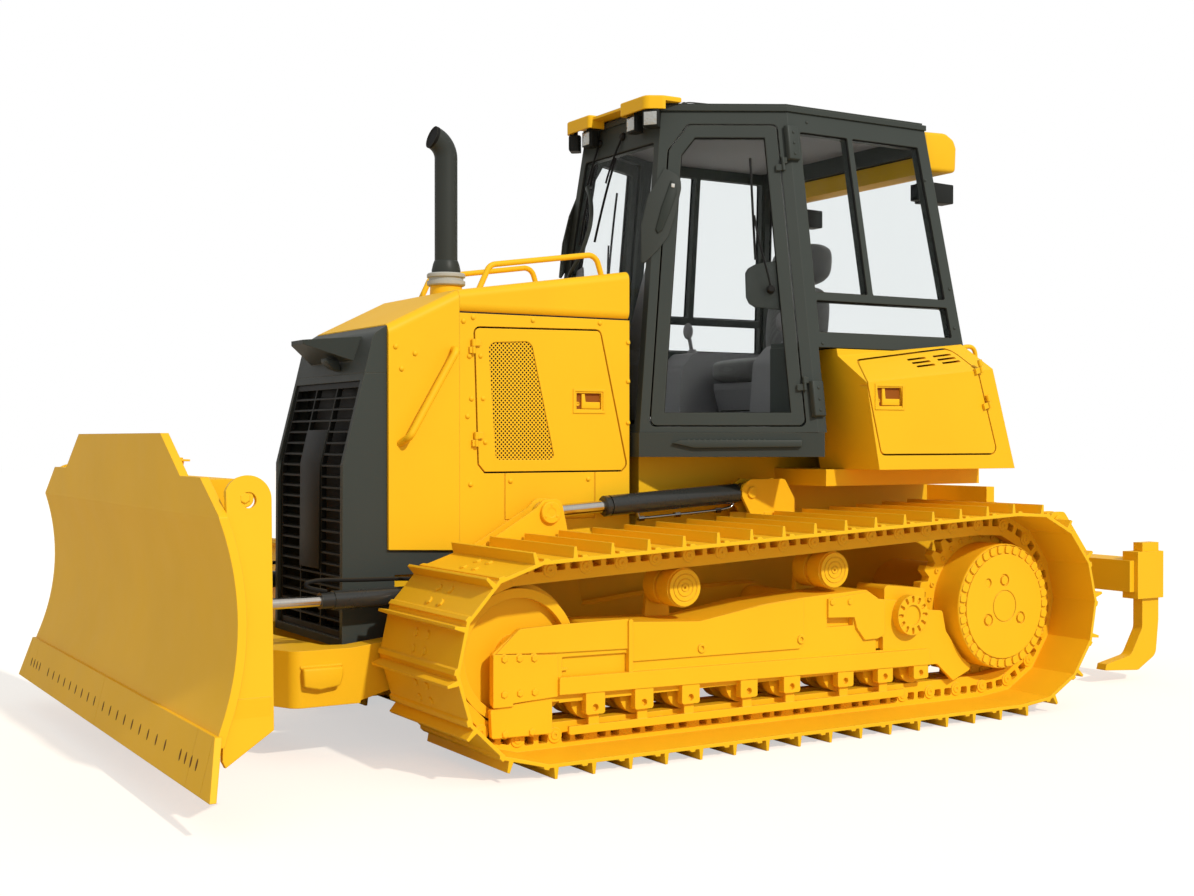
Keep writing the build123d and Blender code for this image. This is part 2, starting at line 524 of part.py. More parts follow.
ENGINE_DOOR = [(-1366, 1902, 25), (-691, 1912, 25), (-540, 1262, 25), (-566, 1236, 0), (-1314, 1236, 0),
               (-1346, 1272, 12)]
side_sheet = side_plate([
    (seam_y, HOOD_FLOOR, 0), (seam_y, SIDE_SEAM_Z - GAP, 0), (rear_y, SIDE_SEAM_Z - GAP, 0),
    (rear_y, HOOD_FLOOR, 0)], HOOD_HALF - PANEL, HOOD_HALF)
door_face = outline(ENGINE_DOOR)
door_hole = offset(door_face, SEAM)
side_sheet -= extrude(Plane.YZ.offset(HOOD_HALF - PANEL - 1) * door_hole, PANEL + 2)
engine_door = extrude(Plane.YZ.offset(HOOD_HALF - PANEL) * door_face, PANEL)
SCREEN = [(-1297, 1838, 40), (-1068, 1850, 40), (-941, 1289, 24), (-1258, 1291, 24)]
SCREEN_DEPTH, LATCH_DEPTH = 5.0, 16.0
engine_door -= extrude(Plane.YZ.offset(HOOD_HALF - SCREEN_DEPTH) * outline(SCREEN), 10)
LATCH = (-821.0, -682.0, 1532.0, 1609.0)      # y, y, z, z of the recess that holds an engine door's latch
engine_door -= block(HOOD_HALF - LATCH_DEPTH, HOOD_HALF + 1, *LATCH)
# seams of the panel below the door
LOWER_PANEL = (-1211.0, -719.0, 1008.0)       # y, y and foot of the panel
panel_y0, panel_y1, panel_foot = LOWER_PANEL
for y in (panel_y0, panel_y1):
    side_sheet -= block(HOOD_HALF - 5, HOOD_HALF + 1, y - 3, y + 3, panel_foot, 1232)
side_sheet -= block(HOOD_HALF - 5, HOOD_HALF + 1, panel_y0, panel_y1, panel_foot - 3, panel_foot + 3)
ENGINE_EDGE = edge_plane((HOOD_HALF, *ENGINE_DOOR[5][:2]), (HOOD_HALF, *ENGINE_DOOR[0][:2]), (0, 1, 0))
for along in (-200, 230):
    frame_half, door_half = hinge(ENGINE_EDGE, along)
    side_sheet += frame_half
    engine_door += door_half
keep("hood_sides", side_sheet, flipped(side_sheet))
keep_pair("engine_door", engine_door)

# exhaust stack: socket, clamp, pipe and an elbow that opens forwards
PIPE_R = 56.0
stack_x, stack_y = EXHAUST
stack_foot = 2060.0
BEND = 105.0
pipe = rod_z(stack_x, stack_y, PIPE_R, stack_foot, 2760)
pipe += revolve(Plane(origin=(stack_x, stack_y, 2760)) * Circle(PIPE_R),
                Axis((stack_x, stack_y - BEND, 2760), (1, 0, 0)), 72)
pipe += rod_z(stack_x, stack_y, 74, 2150, 2200)
pipe += rod_z(stack_x, stack_y, 62 - GAP, 1830 + GAP, 2180)
keep("exhaust_stack", pipe)


def handrail(points, radius, tube):
    """Round tube bent along points."""
    way = FilletPolyline(*points, radius=radius)
    return sweep(Plane(origin=way @ 0, z_dir=way % 0) * Circle(tube), path=way)


def hood_top_z(y):
    return seam_z + (rear_z - seam_z) * (y - seam_y) / (rear_y - seam_y)


RAIL_X = 330.0
rail_left = handrail([(RAIL_X, -1290, hood_top_z(-1290) - 20), (RAIL_X, -1225, hood_top_z(-1225) + 105),
                      (RAIL_X, -640, hood_top_z(-640) + 105), (RAIL_X, -600, hood_top_z(-600) - 20)], 55, 14)
rail_left -= side_plate([(-1500, hood_top_z(-1500) + GAP, 0), (-500, hood_top_z(-500) + GAP, 0), (-500, 1900, 0),
                         (-1500, 1900, 0)], 300, 360)
grab_left = handrail([(HOOD_HALF - 15, -1470, 1802), (HOOD_HALF + 62, -1490, 1790), (HOOD_HALF + 62, -1720, 1400),
                      (HOOD_HALF - 15, -1745, 1363)], 30, 17)
grab_left -= block(HOOD_HALF - 60, HOOD_HALF + GAP, -1800, -1400, 1300, 1900)
keep("handrails", rail_left, flipped(rail_left), grab_left, flipped(grab_left))


# ---------------------------------------------------------------- cab
def cab_corner(index, z):
    """x, y of pillar A, B or C's outer corner at a height."""
    t = (z - CAB_FLOOR) / (CAB_ROOF - CAB_FLOOR)
    x = lerp(CAB_LOW[index][0], CAB_HIGH[index][0], t)
    y = lerp(CAB_LOW[index][1], CAB_HIGH[index][1], t)
    return x, y


def side_wall(front, rear, origin):
    """Plane of the side wall between two pillars, with its two pillars' lines as local x at foot and head.
    Local x runs level from pillar `origin`, z outwards."""
    other = front if origin == rear else rear
    foot = Vector(*cab_corner(origin, CAB_FLOOR), CAB_FLOOR)
    along = (Vector(*cab_corner(other, CAB_FLOOR), CAB_FLOOR) - foot).normalized()
    head = Vector(*cab_corner(origin, CAB_ROOF), CAB_ROOF)
    outward = along.cross(head - foot)
    if outward.X < 0:
        outward = -outward
    plane = Plane(origin=foot, x_dir=along, z_dir=outward)
    lines = []
    for index in (origin, other):
        ends = [plane.to_local_coords(Vector(*cab_corner(index, z), z)) for z in (CAB_FLOOR, CAB_ROOF)]
        lines.append(ends)
    return plane, lines


def end_wall(index):
    """Plane of the windscreen (pillar A) or the rear wall (pillar C), z outwards, and its length up the wall."""
    low = Vector(0, cab_corner(index, CAB_FLOOR)[1], CAB_FLOOR)
    high = Vector(0, cab_corner(index, CAB_ROOF)[1], CAB_ROOF)
    up = (high - low).normalized()
    outward = Vector(1, 0, 0).cross(up) if index == 0 else Vector(-1, 0, 0).cross(up)
    return Plane(origin=low, x_dir=Vector(1, 0, 0), z_dir=outward), (high - low).length


DOOR_PLANE, (B_LINE, A_LINE) = side_wall(0, 1, 1)
BACK_PLANE, (FRONT_LINE, REAR_LINE) = side_wall(1, 2, 1)


def cab_solid(inset, z0, z1):
    """The cab's whole form between two heights, with its walls moved in by inset."""
    form = block(-1200, 1200, -900, 1700, z0, z1)
    for plane in (DOOR_PLANE, BACK_PLANE, end_wall(0)[0], end_wall(2)[0]):
        inner = plane.offset(-inset) * Pos(0, 0, -3000) * Box(9000, 9000, 6000)
        form &= inner
        if plane in (DOOR_PLANE, BACK_PLANE):
            form &= flipped(inner)
    return form


cab = cab_solid(0, CAB_FLOOR, CAB_ROOF) - cab_solid(CAB_WALL, CAB_FLOOR, CAB_ROOF - 40)
below_waist = block(-1200, 1200, 275, 1600, CAB_FLOOR - 10, CAB_WAIST)
cab -= below_waist
TUB_Y0, TUB_Y1 = 275.0, 1330.0
tub = block(-CAB_TUB_HALF, CAB_TUB_HALF, TUB_Y0 + 20, TUB_Y1, CAB_FLOOR, CAB_WAIST + 5)
tub += cab_solid(0, CAB_FLOOR, CAB_WAIST + 5) & block(-1200, 1200, TUB_Y0 - 5, TUB_Y0 + 50, CAB_FLOOR, CAB_WAIST + 5)
tub += cab_solid(0, CAB_WAIST, CAB_WAIST + 30) & block(-1200, 1200, TUB_Y0, 1700, CAB_WAIST, CAB_WAIST + 30)
tub -= block(-CAB_TUB_HALF + CAB_WALL, CAB_TUB_HALF - CAB_WALL, 200, TUB_Y1 - CAB_WALL, CAB_FLOOR - 1,
             CAB_WAIST + 31)
cab += tub


def on_pillar(line, v, post):
    """Local x at a local height v, `post` away from a pillar's line."""
    low, high = line
    return lerp(low.X, high.X, (v - low.Y) / (high.Y - low.Y)) + post


def in_wall(plane, face, out, depth):
    """Prism through a wall from `out` outside its outer face, `depth` deep."""
    return plane.offset(out - depth) * extrude(face, depth)


# door outline in its wall: local x from the B pillar towards the A pillar; local y is up if UP is 1
UP = 1 if B_LINE[1].Y > 0 else -1
B_POST, A_POST, DOOR_LOW, DOOR_HIGH = 62.0, 52.0, 36.0, 1560.0


def door_rows(grow):
    low, high, bevel = UP * (DOOR_LOW - grow), UP * (DOOR_HIGH + grow), UP * (DOOR_HIGH - 130)
    near, far = B_POST - grow, grow - A_POST
    return [(on_pillar(B_LINE, low, near), low, 30), (on_pillar(B_LINE, high, near), high, 30),
            (on_pillar(A_LINE, high, far) - 90, high, 30), (on_pillar(A_LINE, bevel, far), bevel, 30),
            (on_pillar(A_LINE, low, far), low, 30)]


door_hole = in_wall(DOOR_PLANE, outline(door_rows(SEAM)), 60, 60 + CAB_WALL + 12)
cab -= door_hole + flipped(door_hole)

BACK_UP = 1 if FRONT_LINE[1].Y > 0 else -1
QUARTER_LOW, QUARTER_BAR, QUARTER_HIGH, QUARTER_POST = 505.0, 690.0, 1540.0, 70.0


def quarter_rows(low, high, start, end):
    """Window from one part of the wall's length to another, between two local heights."""
    low, high = BACK_UP * low, BACK_UP * high
    rows = []
    for part, v in ((start, low), (start, high), (end, high), (end, low)):
        front = on_pillar(FRONT_LINE, v, QUARTER_POST)
        rear = on_pillar(REAR_LINE, v, -QUARTER_POST)
        rows.append((lerp(front, rear, part), v, 12))
    return rows


panes = []
QUARTER_PANES = ((QUARTER_LOW, QUARTER_BAR - 20, 0, 1), (QUARTER_BAR + 20, QUARTER_HIGH, 0, 0.39),
                 (QUARTER_BAR + 20, QUARTER_HIGH, 0.43, 1))
for pane_rows in QUARTER_PANES:
    face = outline(quarter_rows(*pane_rows))
    hole = in_wall(BACK_PLANE, face, 60, 60 + CAB_WALL + 12)
    cab -= hole + flipped(hole)
    pane = in_wall(BACK_PLANE, offset(face, -GAP), -12, GLASS)
    panes += [pane, flipped(pane)]


for index, low, high, post in ((0, 40, 1480, 48), (2, 470, 1500, 70)):
    plane, length = end_wall(index)
    half_low = lerp(CAB_LOW[index][0], CAB_HIGH[index][0], low / length) - post
    half_high = lerp(CAB_LOW[index][0], CAB_HIGH[index][0], high / length) - post
    rows = [(-half_low, low, 20), (half_low, low, 20), (half_high, high, 20), (-half_high, high, 20)]
    if plane.y_dir.Z < 0:
        rows = [(x, -v, r) for x, v, r in rows]
    face = outline(rows)
    cab -= in_wall(plane, face, 60, 60 + CAB_WALL + 12)
    panes.append(in_wall(plane, offset(face, -GAP), -12, GLASS))

keep("cab_glass", *panes)

door_frame_face = outline(door_rows(0))
door_window = offset(door_frame_face, -62)
door = in_wall(DOOR_PLANE, door_frame_face, 0, DOOR_THICK) - in_wall(DOOR_PLANE, door_window, 10, DOOR_THICK + 20)
door_glass = in_wall(DOOR_PLANE, offset(door_window, -GAP), -14, GLASS)
DOOR_EDGE = edge_plane(tuple(DOOR_PLANE.from_local_coords((*door_rows(0)[0][:2], 0))),
                       tuple(DOOR_PLANE.from_local_coords((*door_rows(0)[1][:2], 0))), tuple(DOOR_PLANE.x_dir))
for along in (-560, 560):
    frame_half, door_half = hinge(DOOR_EDGE, along)
    cab += frame_half + flipped(frame_half)
    door += door_half
keep("cab_frame", cab)
keep_pair("cab_door", door)
keep_pair("door_glass", door_glass)

# cab base, roof, fairings and lamps
base_low = [cab_corner(k, CAB_FLOOR) for k in range(3)]
base = level_plate([(base_low[0][0] + 8, base_low[0][1] - 8, 0), (base_low[1][0] + 14, base_low[1][1] + 30, 0),
                    (CAB_TUB_HALF, base_low[1][1] + 60, 0), (CAB_TUB_HALF, 1330, 0), (-CAB_TUB_HALF, 1330, 0),
                    (-CAB_TUB_HALF, base_low[1][1] + 60, 0), (-base_low[1][0] - 14, base_low[1][1] + 30, 0),
                    (-base_low[0][0] - 8, base_low[0][1] - 8, 0)], 1300, CAB_FLOOR - GAP)
keep("cab_base", base)
roof_plan = [cab_corner(k, CAB_ROOF) for k in range(3)]
roof_plan = make_face(Polyline(*roof_plan, *[(-x, y) for x, y in reversed(roof_plan)], close=True))
roof = Pos(0, 0, CAB_ROOF + GAP) * extrude(offset(roof_plan, 10), 26)
roof += Pos(0, 0, CAB_ROOF + 20) * extrude(offset(roof_plan, -8), 20)
keep("cab_roof", roof)
ROOF_TOP = CAB_ROOF + 40
BROW_FRONT_Y, BROW_REAR_Y, BROW_X0, BROW_X1 = -390.0, -200.0, 150.0, 438.0
BROW_TOP, BROW_LIP, BROW_SHEET = ROOF_TOP + 26, 42.0, 12.0
brow_face = outline([(BROW_X0, BROW_FRONT_Y, 20), (BROW_X1 - 45, BROW_FRONT_Y, 45), (BROW_X1, BROW_FRONT_Y + 85, 40),
                     (BROW_X1, BROW_REAR_Y, 0), (BROW_X0, BROW_REAR_Y, 0)])
brow = Pos(0, 0, ROOF_TOP + GAP) * extrude(brow_face, BROW_TOP - ROOF_TOP - GAP)
brow = fillet(brow.edges().group_by(Axis.Z)[-1], 9)
lip = extrude(brow_face - offset(brow_face, -BROW_SHEET), BROW_LIP + 8) & block(
    BROW_X0 - 10, BROW_X1 + 10, BROW_FRONT_Y - 10, cab_corner(0, CAB_ROOF)[1] - 16, 0, 100)
brow += Pos(0, 0, ROOF_TOP + GAP - BROW_LIP) * lip
brow_strip = level_plate([(-BROW_X0 - 10, BROW_FRONT_Y + 26, 0), (BROW_X0 + 10, BROW_FRONT_Y + 26, 0),
                          (BROW_X0 + 10, BROW_REAR_Y, 0), (-BROW_X0 - 10, BROW_REAR_Y, 0)],
                         ROOF_TOP + GAP, ROOF_TOP + 14)
brow_strip += brow + flipped(brow)


def rear_wall_y(z):
    return cab_corner(2, z)[1] + GAP


FAIR_LOW, FAIR_HIGH = CAB_ROOF - 220, CAB_ROOF - 2
rear_fairing = side_plate([
    (rear_wall_y(FAIR_LOW), FAIR_LOW, 0), (rear_wall_y(FAIR_HIGH), FAIR_HIGH, 0), (1340, FAIR_HIGH, 60),
    (1350, FAIR_LOW + 80, 0), (1310, FAIR_LOW, 20)], -620, 620)
keep("roof_fairings", brow_strip, rear_fairing)
LAMP_TURN = 38.0          # how far the corner lamps look outwards
LAMP_HIGH = 86.0          # height of a lamp's housing
FRONT_LAMP_Z, REAR_LAMP_Z = ROOF_TOP - 132, FAIR_LOW - 130
LAMPS = ((-380, -337, FRONT_LAMP_Z, ROOF_TOP, -LAMP_TURN), (-222, -334, FRONT_LAMP_Z, ROOF_TOP, 0),
         (222, -334, FRONT_LAMP_Z, ROOF_TOP, 0), (380, -337, FRONT_LAMP_Z, ROOF_TOP, LAMP_TURN),
         (-560, 1280, REAR_LAMP_Z, FAIR_LOW - 2 * GAP, 180), (560, 1280, REAR_LAMP_Z, FAIR_LOW - 2 * GAP, 180))
lamps = []
for x, y, z, hung_from, turn in LAMPS:
    housing = level_plate([(-44, -28, 12), (44, -28, 12), (36, 28, 16), (-36, 28, 16)], z, z + LAMP_HIGH)
    housing += rod_z(0, 0, 9, z + LAMP_HIGH - 10, hung_from)
    lamps.append(Pos(x, y, 0) * Rot(0, 0, turn) * housing)
keep("work_lamps", *lamps)

# ---------------------------------------------------------------- operator's place
CONSOLE_X0, CONSOLE_X1 = 330.0, CAB_TUB_HALF - CAB_WALL - GAP
SEAT_HALF = 250.0
interior = side_plate([(540, CAB_FLOOR, 0), (500, 1560, 40), (470, 1662, 0), (470, 1700, 10), (905, 1700, 10),
                       (905, 1662, 0), (880, 1560, 40), (860, CAB_FLOOR, 0)], -SEAT_HALF + 30, SEAT_HALF - 30)
console = side_plate([(300, CAB_FLOOR, 0), (330, 1790, 60), (420, 1880, 60), (1000, 1880, 30), (1000, CAB_FLOOR, 0)],
                     CONSOLE_X0, CONSOLE_X1)
interior += console + flipped(console)
interior += side_plate([(-405, CAB_FLOOR, 0), (-405, 1760, 0), (-385, 1850, 30), (-310, 1850, 40), (-262, 1730, 30),
                        (-330, 1600, 60), (-330, CAB_FLOOR, 0)], -360, 360)
for side in (-1, 1):
    grip = Vector(side * 430, 440, 2005)
    interior += rod_between((side * 430, 470, 1870), tuple(grip), 11)
    interior += Pos(*grip) * scale(Sphere(30), (0.8, 1, 1.6))
    interior += Pos(side * 430, 470, 1880) * Cone(42, 20, 44)
keep("cab_interior", interior)
cushion = block(-SEAT_HALF, SEAT_HALF, 430, 920, 1700 + GAP, 1830)
keep("seat_cushion", cushion)
back = side_plate([(800, 1830 + GAP, 0), (890, 2480, 35), (975, 2480, 35), (915, 1830 + GAP, 0)], -240, 240)
keep("seat_back", back)

# ---------------------------------------------------------------- platform and rear boxes
BOX_X0, BOX_X1 = 625.0, 1080.0
BOX_FLOOR = 1235.0
platform = block(-HULL_HALF, HULL_HALF, -430, 1500, 1018 + GAP, 1300 - GAP)
platform += block(-820, 820, 420, 1480, 1150, BOX_FLOOR - GAP)
keep("platform", platform)


SKIN = 24.0               # wall of the boxes


def box_form(inset):
    """A rear box's whole form with its walls moved in by inset."""
    sections = []
    for y, rise in ((400, 0), (1500, 110)):
        rows = [(BOX_X0, BOX_FLOOR), (BOX_X1, BOX_FLOOR), (BOX_X1, 1660 + rise), (895, 1800 + rise),
                (895, CAB_WAIST - 6), (BOX_X0, CAB_WAIST - 6)]
        face = make_face(Polyline(*rows, close=True))
        if inset:
            face = offset(face, -inset, kind=Kind.INTERSECTION)
        sections.append(Plane.XZ.offset(-y) * face)
    ends = outline([(550, 1200, 0), (395, 1990, 0), (1240, 1990, 0), (1487, 1200, 0)])
    if inset:
        ends = offset(ends, -inset, kind=Kind.INTERSECTION)
    return loft(sections, ruled=True) & extrude(Plane.YZ.offset(500) * ends, 700)


side_box = box_form(0)
BOX_DOOR = [(558, 1314, 30), (467, 1662, 40), (525, 1778, 40), (1165, 1858, 50), (1345, 1314, 30)]
BOX_LATCH = [(527, 1640, 4), (685, 1642, 4), (700, 1552, 4), (541, 1550, 4)]
BOX_VENTS = ((832, 1790), (1012, 1812))       # front top corner of each group of three slots
VENT_RUN, VENT_RISE, VENT_PITCH, VENT_HALF = 125.0, 15.0, 18.0, 4.5
skin = side_box - Pos(-SKIN, 0, -SKIN) * side_box
lid = outline(BOX_DOOR)
box_door = skin & extrude(Plane.YZ.offset(880) * lid, 300)
box_door = max(box_door.solids(), key=lambda solid: solid.volume)
deep_skin = side_box - Pos(-SKIN - 6, 0, -SKIN - 6) * side_box
side_box -= box_form(SKIN)
side_box -= deep_skin & extrude(Plane.YZ.offset(872) * offset(lid, SEAM), 300)
box_door -= side_plate(BOX_LATCH, BOX_X1 - LATCH_DEPTH, BOX_X1 + 1)
for y, z in BOX_VENTS:
    for row in range(3):
        y0, z0 = y + 9 * row, z - VENT_PITCH * row
        y1, z1 = y0 + VENT_RUN, z0 + VENT_RISE
        box_door -= side_plate([(y0, z0 - VENT_HALF, 0), (y0, z0 + VENT_HALF, 0), (y1, z1 + VENT_HALF, 0),
                                (y1, z1 - VENT_HALF, 0)], 850, BOX_X1 + 1)
BOX_EDGE = edge_plane((BOX_X1, *BOX_DOOR[4][:2]), (BOX_X1, *BOX_DOOR[3][:2]), (0, -1, 0))
for along in (-180, 10):
    frame_half, door_half = hinge(BOX_EDGE, along)
    side_box += frame_half
    box_door += door_half
keep_pair("box_door", box_door)
keep_pair("rear_box", side_box)

# ---------------------------------------------------------------- C-frame
LUG_GAP = EYE_HALF + 5    # from a lift cylinder's centre to the plates of its lug
lug_y, lug_z = LIFT_LUG
arm = side_plate([(215, 490, 60), (215, 665, 60), (-500, 640, 0), (-1700, 520, 0), (-2030, 485, 0),
                  (-2030, 242, 0), (-1700, 330, 0), (-600, 450, 0)], ARM_X0, ARM_X1)
lug_rows = [(-1505, 480, 0), (-1440, 880, 40), (lug_y - 72, lug_z + 20, 30), (lug_y - 30, lug_z + 62, 40),
            (lug_y + 62, lug_z + 62, 40), (-860, 560, 0)]
filler_rows = [(-1500, 480, 0), (-1430, 850, 0), (lug_y - 110, lug_z - 110, 0), (lug_y + 60, lug_z - 110, 0),
               (-870, 560, 0)]
lug = side_plate(filler_rows, LIFT_X - LUG_GAP - 1, LIFT_X + LUG_GAP + 1)
for x0 in (LIFT_X - LUG_GAP - 14, LIFT_X + LUG_GAP):
    lug += side_plate(lug_rows, x0, x0 + 12)
for x0 in (LIFT_X - LUG_GAP - 22, LIFT_X + LUG_GAP + 12):
    lug += rod_x(lug_y, lug_z, 34, x0, x0 + 10)
rear_x, rear_y_pin = ANGLE_REAR
SEAT_TOP = ANGLE_Z - 62
angle_seat = block(ARM_X0, ARM_X1, rear_y_pin - 75, rear_y_pin + 60, 480, SEAT_TOP)
angle_seat += rod_z(rear_x, rear_y_pin, 25, SEAT_TOP - 5, SEAT_TOP + 17)
half_frame = arm + lug + angle_seat
half_frame -= rod_x(*FRAME_PIVOT, PIVOT_TUBE_R + 0.4, ARM_X0 - 1, ARM_X1 + 1)
NOSE_R = 112.0            # round end of the C-frame about the kingpin
beam = level_plate([
    (ARM_X1, -1990, 0), (ARM_X1, -2290, 60), (300, -2425, 60), (100, KINGPIN_Y - 40, 0),
    (-100, KINGPIN_Y - 40, 0), (-300, -2425, 60), (-ARM_X1, -2290, 60), (-ARM_X1, -1990, 0),
    (-ARM_X0, -1990, 0), (-ARM_X0 + 30, -2110, 60), (0, -2170, 0), (ARM_X0 - 30, -2110, 60),
    (ARM_X0, -1990, 0)], 242, 485)
beam += rod_z(0, KINGPIN_Y, NOSE_R, 242, 485)
SLOT_Z = (285.0, 440.0)   # slot in the C-frame's nose that holds the yoke's ring
slot = level_plate([(-330, -2560, 0), (330, -2560, 0), (150, -2285, 0), (-150, -2285, 0)], *SLOT_Z)
c_frame = half_frame + flipped(half_frame) + (beam - slot)
c_frame += rod_z(0, KINGPIN_Y, 45, 242, 485)
keep("c_frame", c_frame)

# ---------------------------------------------------------------- yoke between C-frame and blade
BACK_Y, MAST_GAP = -2610.0, 25.0
ring_z0, ring_z1 = SLOT_Z[0] + GAP, SLOT_Z[1] - 6
yoke = rod_z(0, KINGPIN_Y, 104, ring_z0, ring_z1)
yoke += block(-70, 70, -2560, KINGPIN_Y - 60, ring_z0, ring_z1)
yoke -= rod_z(0, KINGPIN_Y, 45.4, 200, 600)
yoke += block(-85, 85, BACK_Y, -2540, ring_z0, 640)
yoke += Plane.XZ.offset(-BACK_Y - 5) * Pos(0, YOKE_Z) * extrude(Circle(60), 190)
pin_x, pin_z = TILT_BARREL
for y0 in (TILT_Y - MAST_GAP - 14, TILT_Y + MAST_GAP):
    yoke += front_plate([(-85, 560, 0), (85, 560, 0), (-70, 790, 0), (pin_x + 42, pin_z + 45, 30),
                         (pin_x - 48, pin_z + 45, 30), (-175, 760, 0)], y0, y0 + 14)
yoke += Plane.XZ.offset(-TILT_Y - 45) * Pos(pin_x, pin_z) * extrude(Circle(22), 90)
keep("yoke", yoke)

# ---------------------------------------------------------------- blade
FACE_Y, FACE_TOP, FACE_SEAM = -2888.0, 1412.0, 310.0
FACE_SHEET = 34.0


def face_line(shift):
    """Profile of the curved face, moved backwards by shift."""
    y = FACE_Y + shift
    line = Line((y, FACE_TOP), (y, 1105)) + ThreePointArc((y, 1105), (y + 54, 760), (y - 24, 370))
    return line + Line((y - 24, 370), (y - 44, FACE_SEAM))


sheet = face_line(0) + face_line(FACE_SHEET)
sheet += Line((FACE_Y, FACE_TOP), (FACE_Y + FACE_SHEET, FACE_TOP))
sheet += Line((FACE_Y - 44, FACE_SEAM), (FACE_Y - 44 + FACE_SHEET, FACE_SEAM))
BLADE_HALF = ((712, FACE_TOP), (988, 1247), (1247, 1247), (1477, 1112), (1570, FACE_SEAM))
front_rows = [(x, z, 12 if k < 4 else 0) for k, (x, z) in enumerate(BLADE_HALF)]
front_rows += [(-x, z, r) for x, z, r in reversed(front_rows)]
moldboard = extrude(Plane.YZ.offset(-1700) * make_face(sheet), 3400)
moldboard &= front_plate(front_rows, -3100, -2500)
keep("moldboard", moldboard)

EDGE_ROWS = [(-2985, BLADE_BOTTOM, 0), (-2961, BLADE_BOTTOM, 0), (-2908, 352, 0), (-2934, 352, 0)]
edges = []
for x0, x1 in ((1, 1380), (1382, 1560)):
    edges.append(side_plate(EDGE_ROWS, x0, x1))
bit_rows = [(1562, BLADE_BOTTOM, 0), (1680, BLADE_BOTTOM, 0), (1575, 350, 0), (1562, 352, 0)]
edges.append(side_plate(EDGE_ROWS, 1562, 1700) & front_plate(bit_rows, -3100, -2800))
behind_face = extrude(Plane.YZ.offset(-1800) * make_face(
    face_line(FACE_SHEET + GAP) + Polyline((FACE_Y - 44 + FACE_SHEET + GAP, FACE_SEAM), (-2905, 200), (-2500, 200),
                                           (-2500, FACE_TOP), (FACE_Y + FACE_SHEET + GAP, FACE_TOP))), 3600)
edges = [edge - behind_face - moldboard for edge in edges]
keep("cutting_edges", *edges, *[flipped(edge) for edge in edges])

ribs = side_plate([(-2900, 1090, 0), (-2900, 1240, 0), (-2745, 1240, 0), (-2745, 1120, 0)], -1240, 1240)
ribs += side_plate([(-2920, 345, 0), (-2920, 470, 0), (-2720, 470, 0), (-2720, 360, 0)], -1540, 1540)
for x in (-1200, -900, 900, 1200):
    ribs += side_plate([(-2920, 400, 0), (-2920, 1130, 0), (-2750, 1180, 0), (-2722, 420, 0)], x - 10, x + 10)
LIFT_HOLE = (-2771.0, 1173.0, 29.0)      # y, z and radius of the lifting hole in each end plate
END_LEAN = degrees(atan2(BLADE_HALF[4][0] - BLADE_HALF[3][0], BLADE_HALF[3][1] - BLADE_HALF[4][1]))
END_X, END_PLATE = 1538.0, 25.0          # middle of an end plate at the face's foot, and its thickness
hole_y, hole_z, hole_r = LIFT_HOLE
end_plate = side_plate([(-2930, 320, 0), (-2930, 1060, 0), (hole_y - 88, 1140, 0), (hole_y - 88, hole_z + 90, 85),
                        (hole_y + 88, hole_z + 90, 85), (hole_y + 60, 350, 0), (-2890, 235, 0)],
                       -END_PLATE / 2, END_PLATE / 2)
end_plate -= rod_x(hole_y, hole_z, hole_r, -60, 60)
end_plate = Pos(END_X, 0, FACE_SEAM) * Rot(0, -END_LEAN, 0) * Pos(0, 0, -FACE_SEAM) * end_plate
ribs += end_plate + flipped(end_plate)
HUB_Y = -2690.0
ribs += side_plate([(-2920, 380, 0), (-2920, 700, 0), (HUB_Y, 640, 0), (HUB_Y, 400, 0), (-2860, 340, 0)], -190, 190)
ribs += side_plate([(-2920, 690, 0), (-2920, 1130, 0), (-2750, 1130, 0), (-2715, 635, 0)], -150, -130)
ribs += side_plate([(-2920, 690, 0), (-2920, 1130, 0), (-2750, 1130, 0), (-2715, 635, 0)], 130, 150)
ribs -= Plane.XZ.offset(2600) * Pos(0, YOKE_Z) * extrude(Circle(60.4), 215)
front_x, front_y_pin = ANGLE_FRONT
JAW_GAP, JAW_PLATE = 75.0, 24.0          # half the gap between a jaw's plates, and their thickness
for px in (-front_x, front_x):
    ribs += block(px - 75, px + 75, -2920, -2790, ANGLE_Z - JAW_GAP - JAW_PLATE, ANGLE_Z + JAW_GAP + JAW_PLATE)
    for z0 in (ANGLE_Z - JAW_GAP - JAW_PLATE, ANGLE_Z + JAW_GAP):
        ribs += level_plate([(px - 75, -2800, 0), (px + 75, -2800, 0), (px + 60, front_y_pin + 50, 40),
                             (px - 60, front_y_pin + 50, 40)], z0, z0 + JAW_PLATE)
    ribs -= block(px - 80, px + 80, front_y_pin - 85, -2580, ANGLE_Z - JAW_GAP, ANGLE_Z + JAW_GAP)
eye_x, eye_z = TILT_EYE
ribs += front_plate([(eye_x - 50, eye_z - 95, 20), (eye_x + 110, eye_z - 95, 20), (eye_x + 110, eye_z + 70, 30),
                     (eye_x - 50, eye_z + 70, 30)], -2920, TILT_Y + MAST_GAP + 14)
ribs -= block(eye_x - 80, eye_x + 80, TILT_Y - MAST_GAP, TILT_Y + MAST_GAP, eye_z - 150, eye_z + 150)
ribs = ribs & behind_face
keep("blade_frame", ribs)


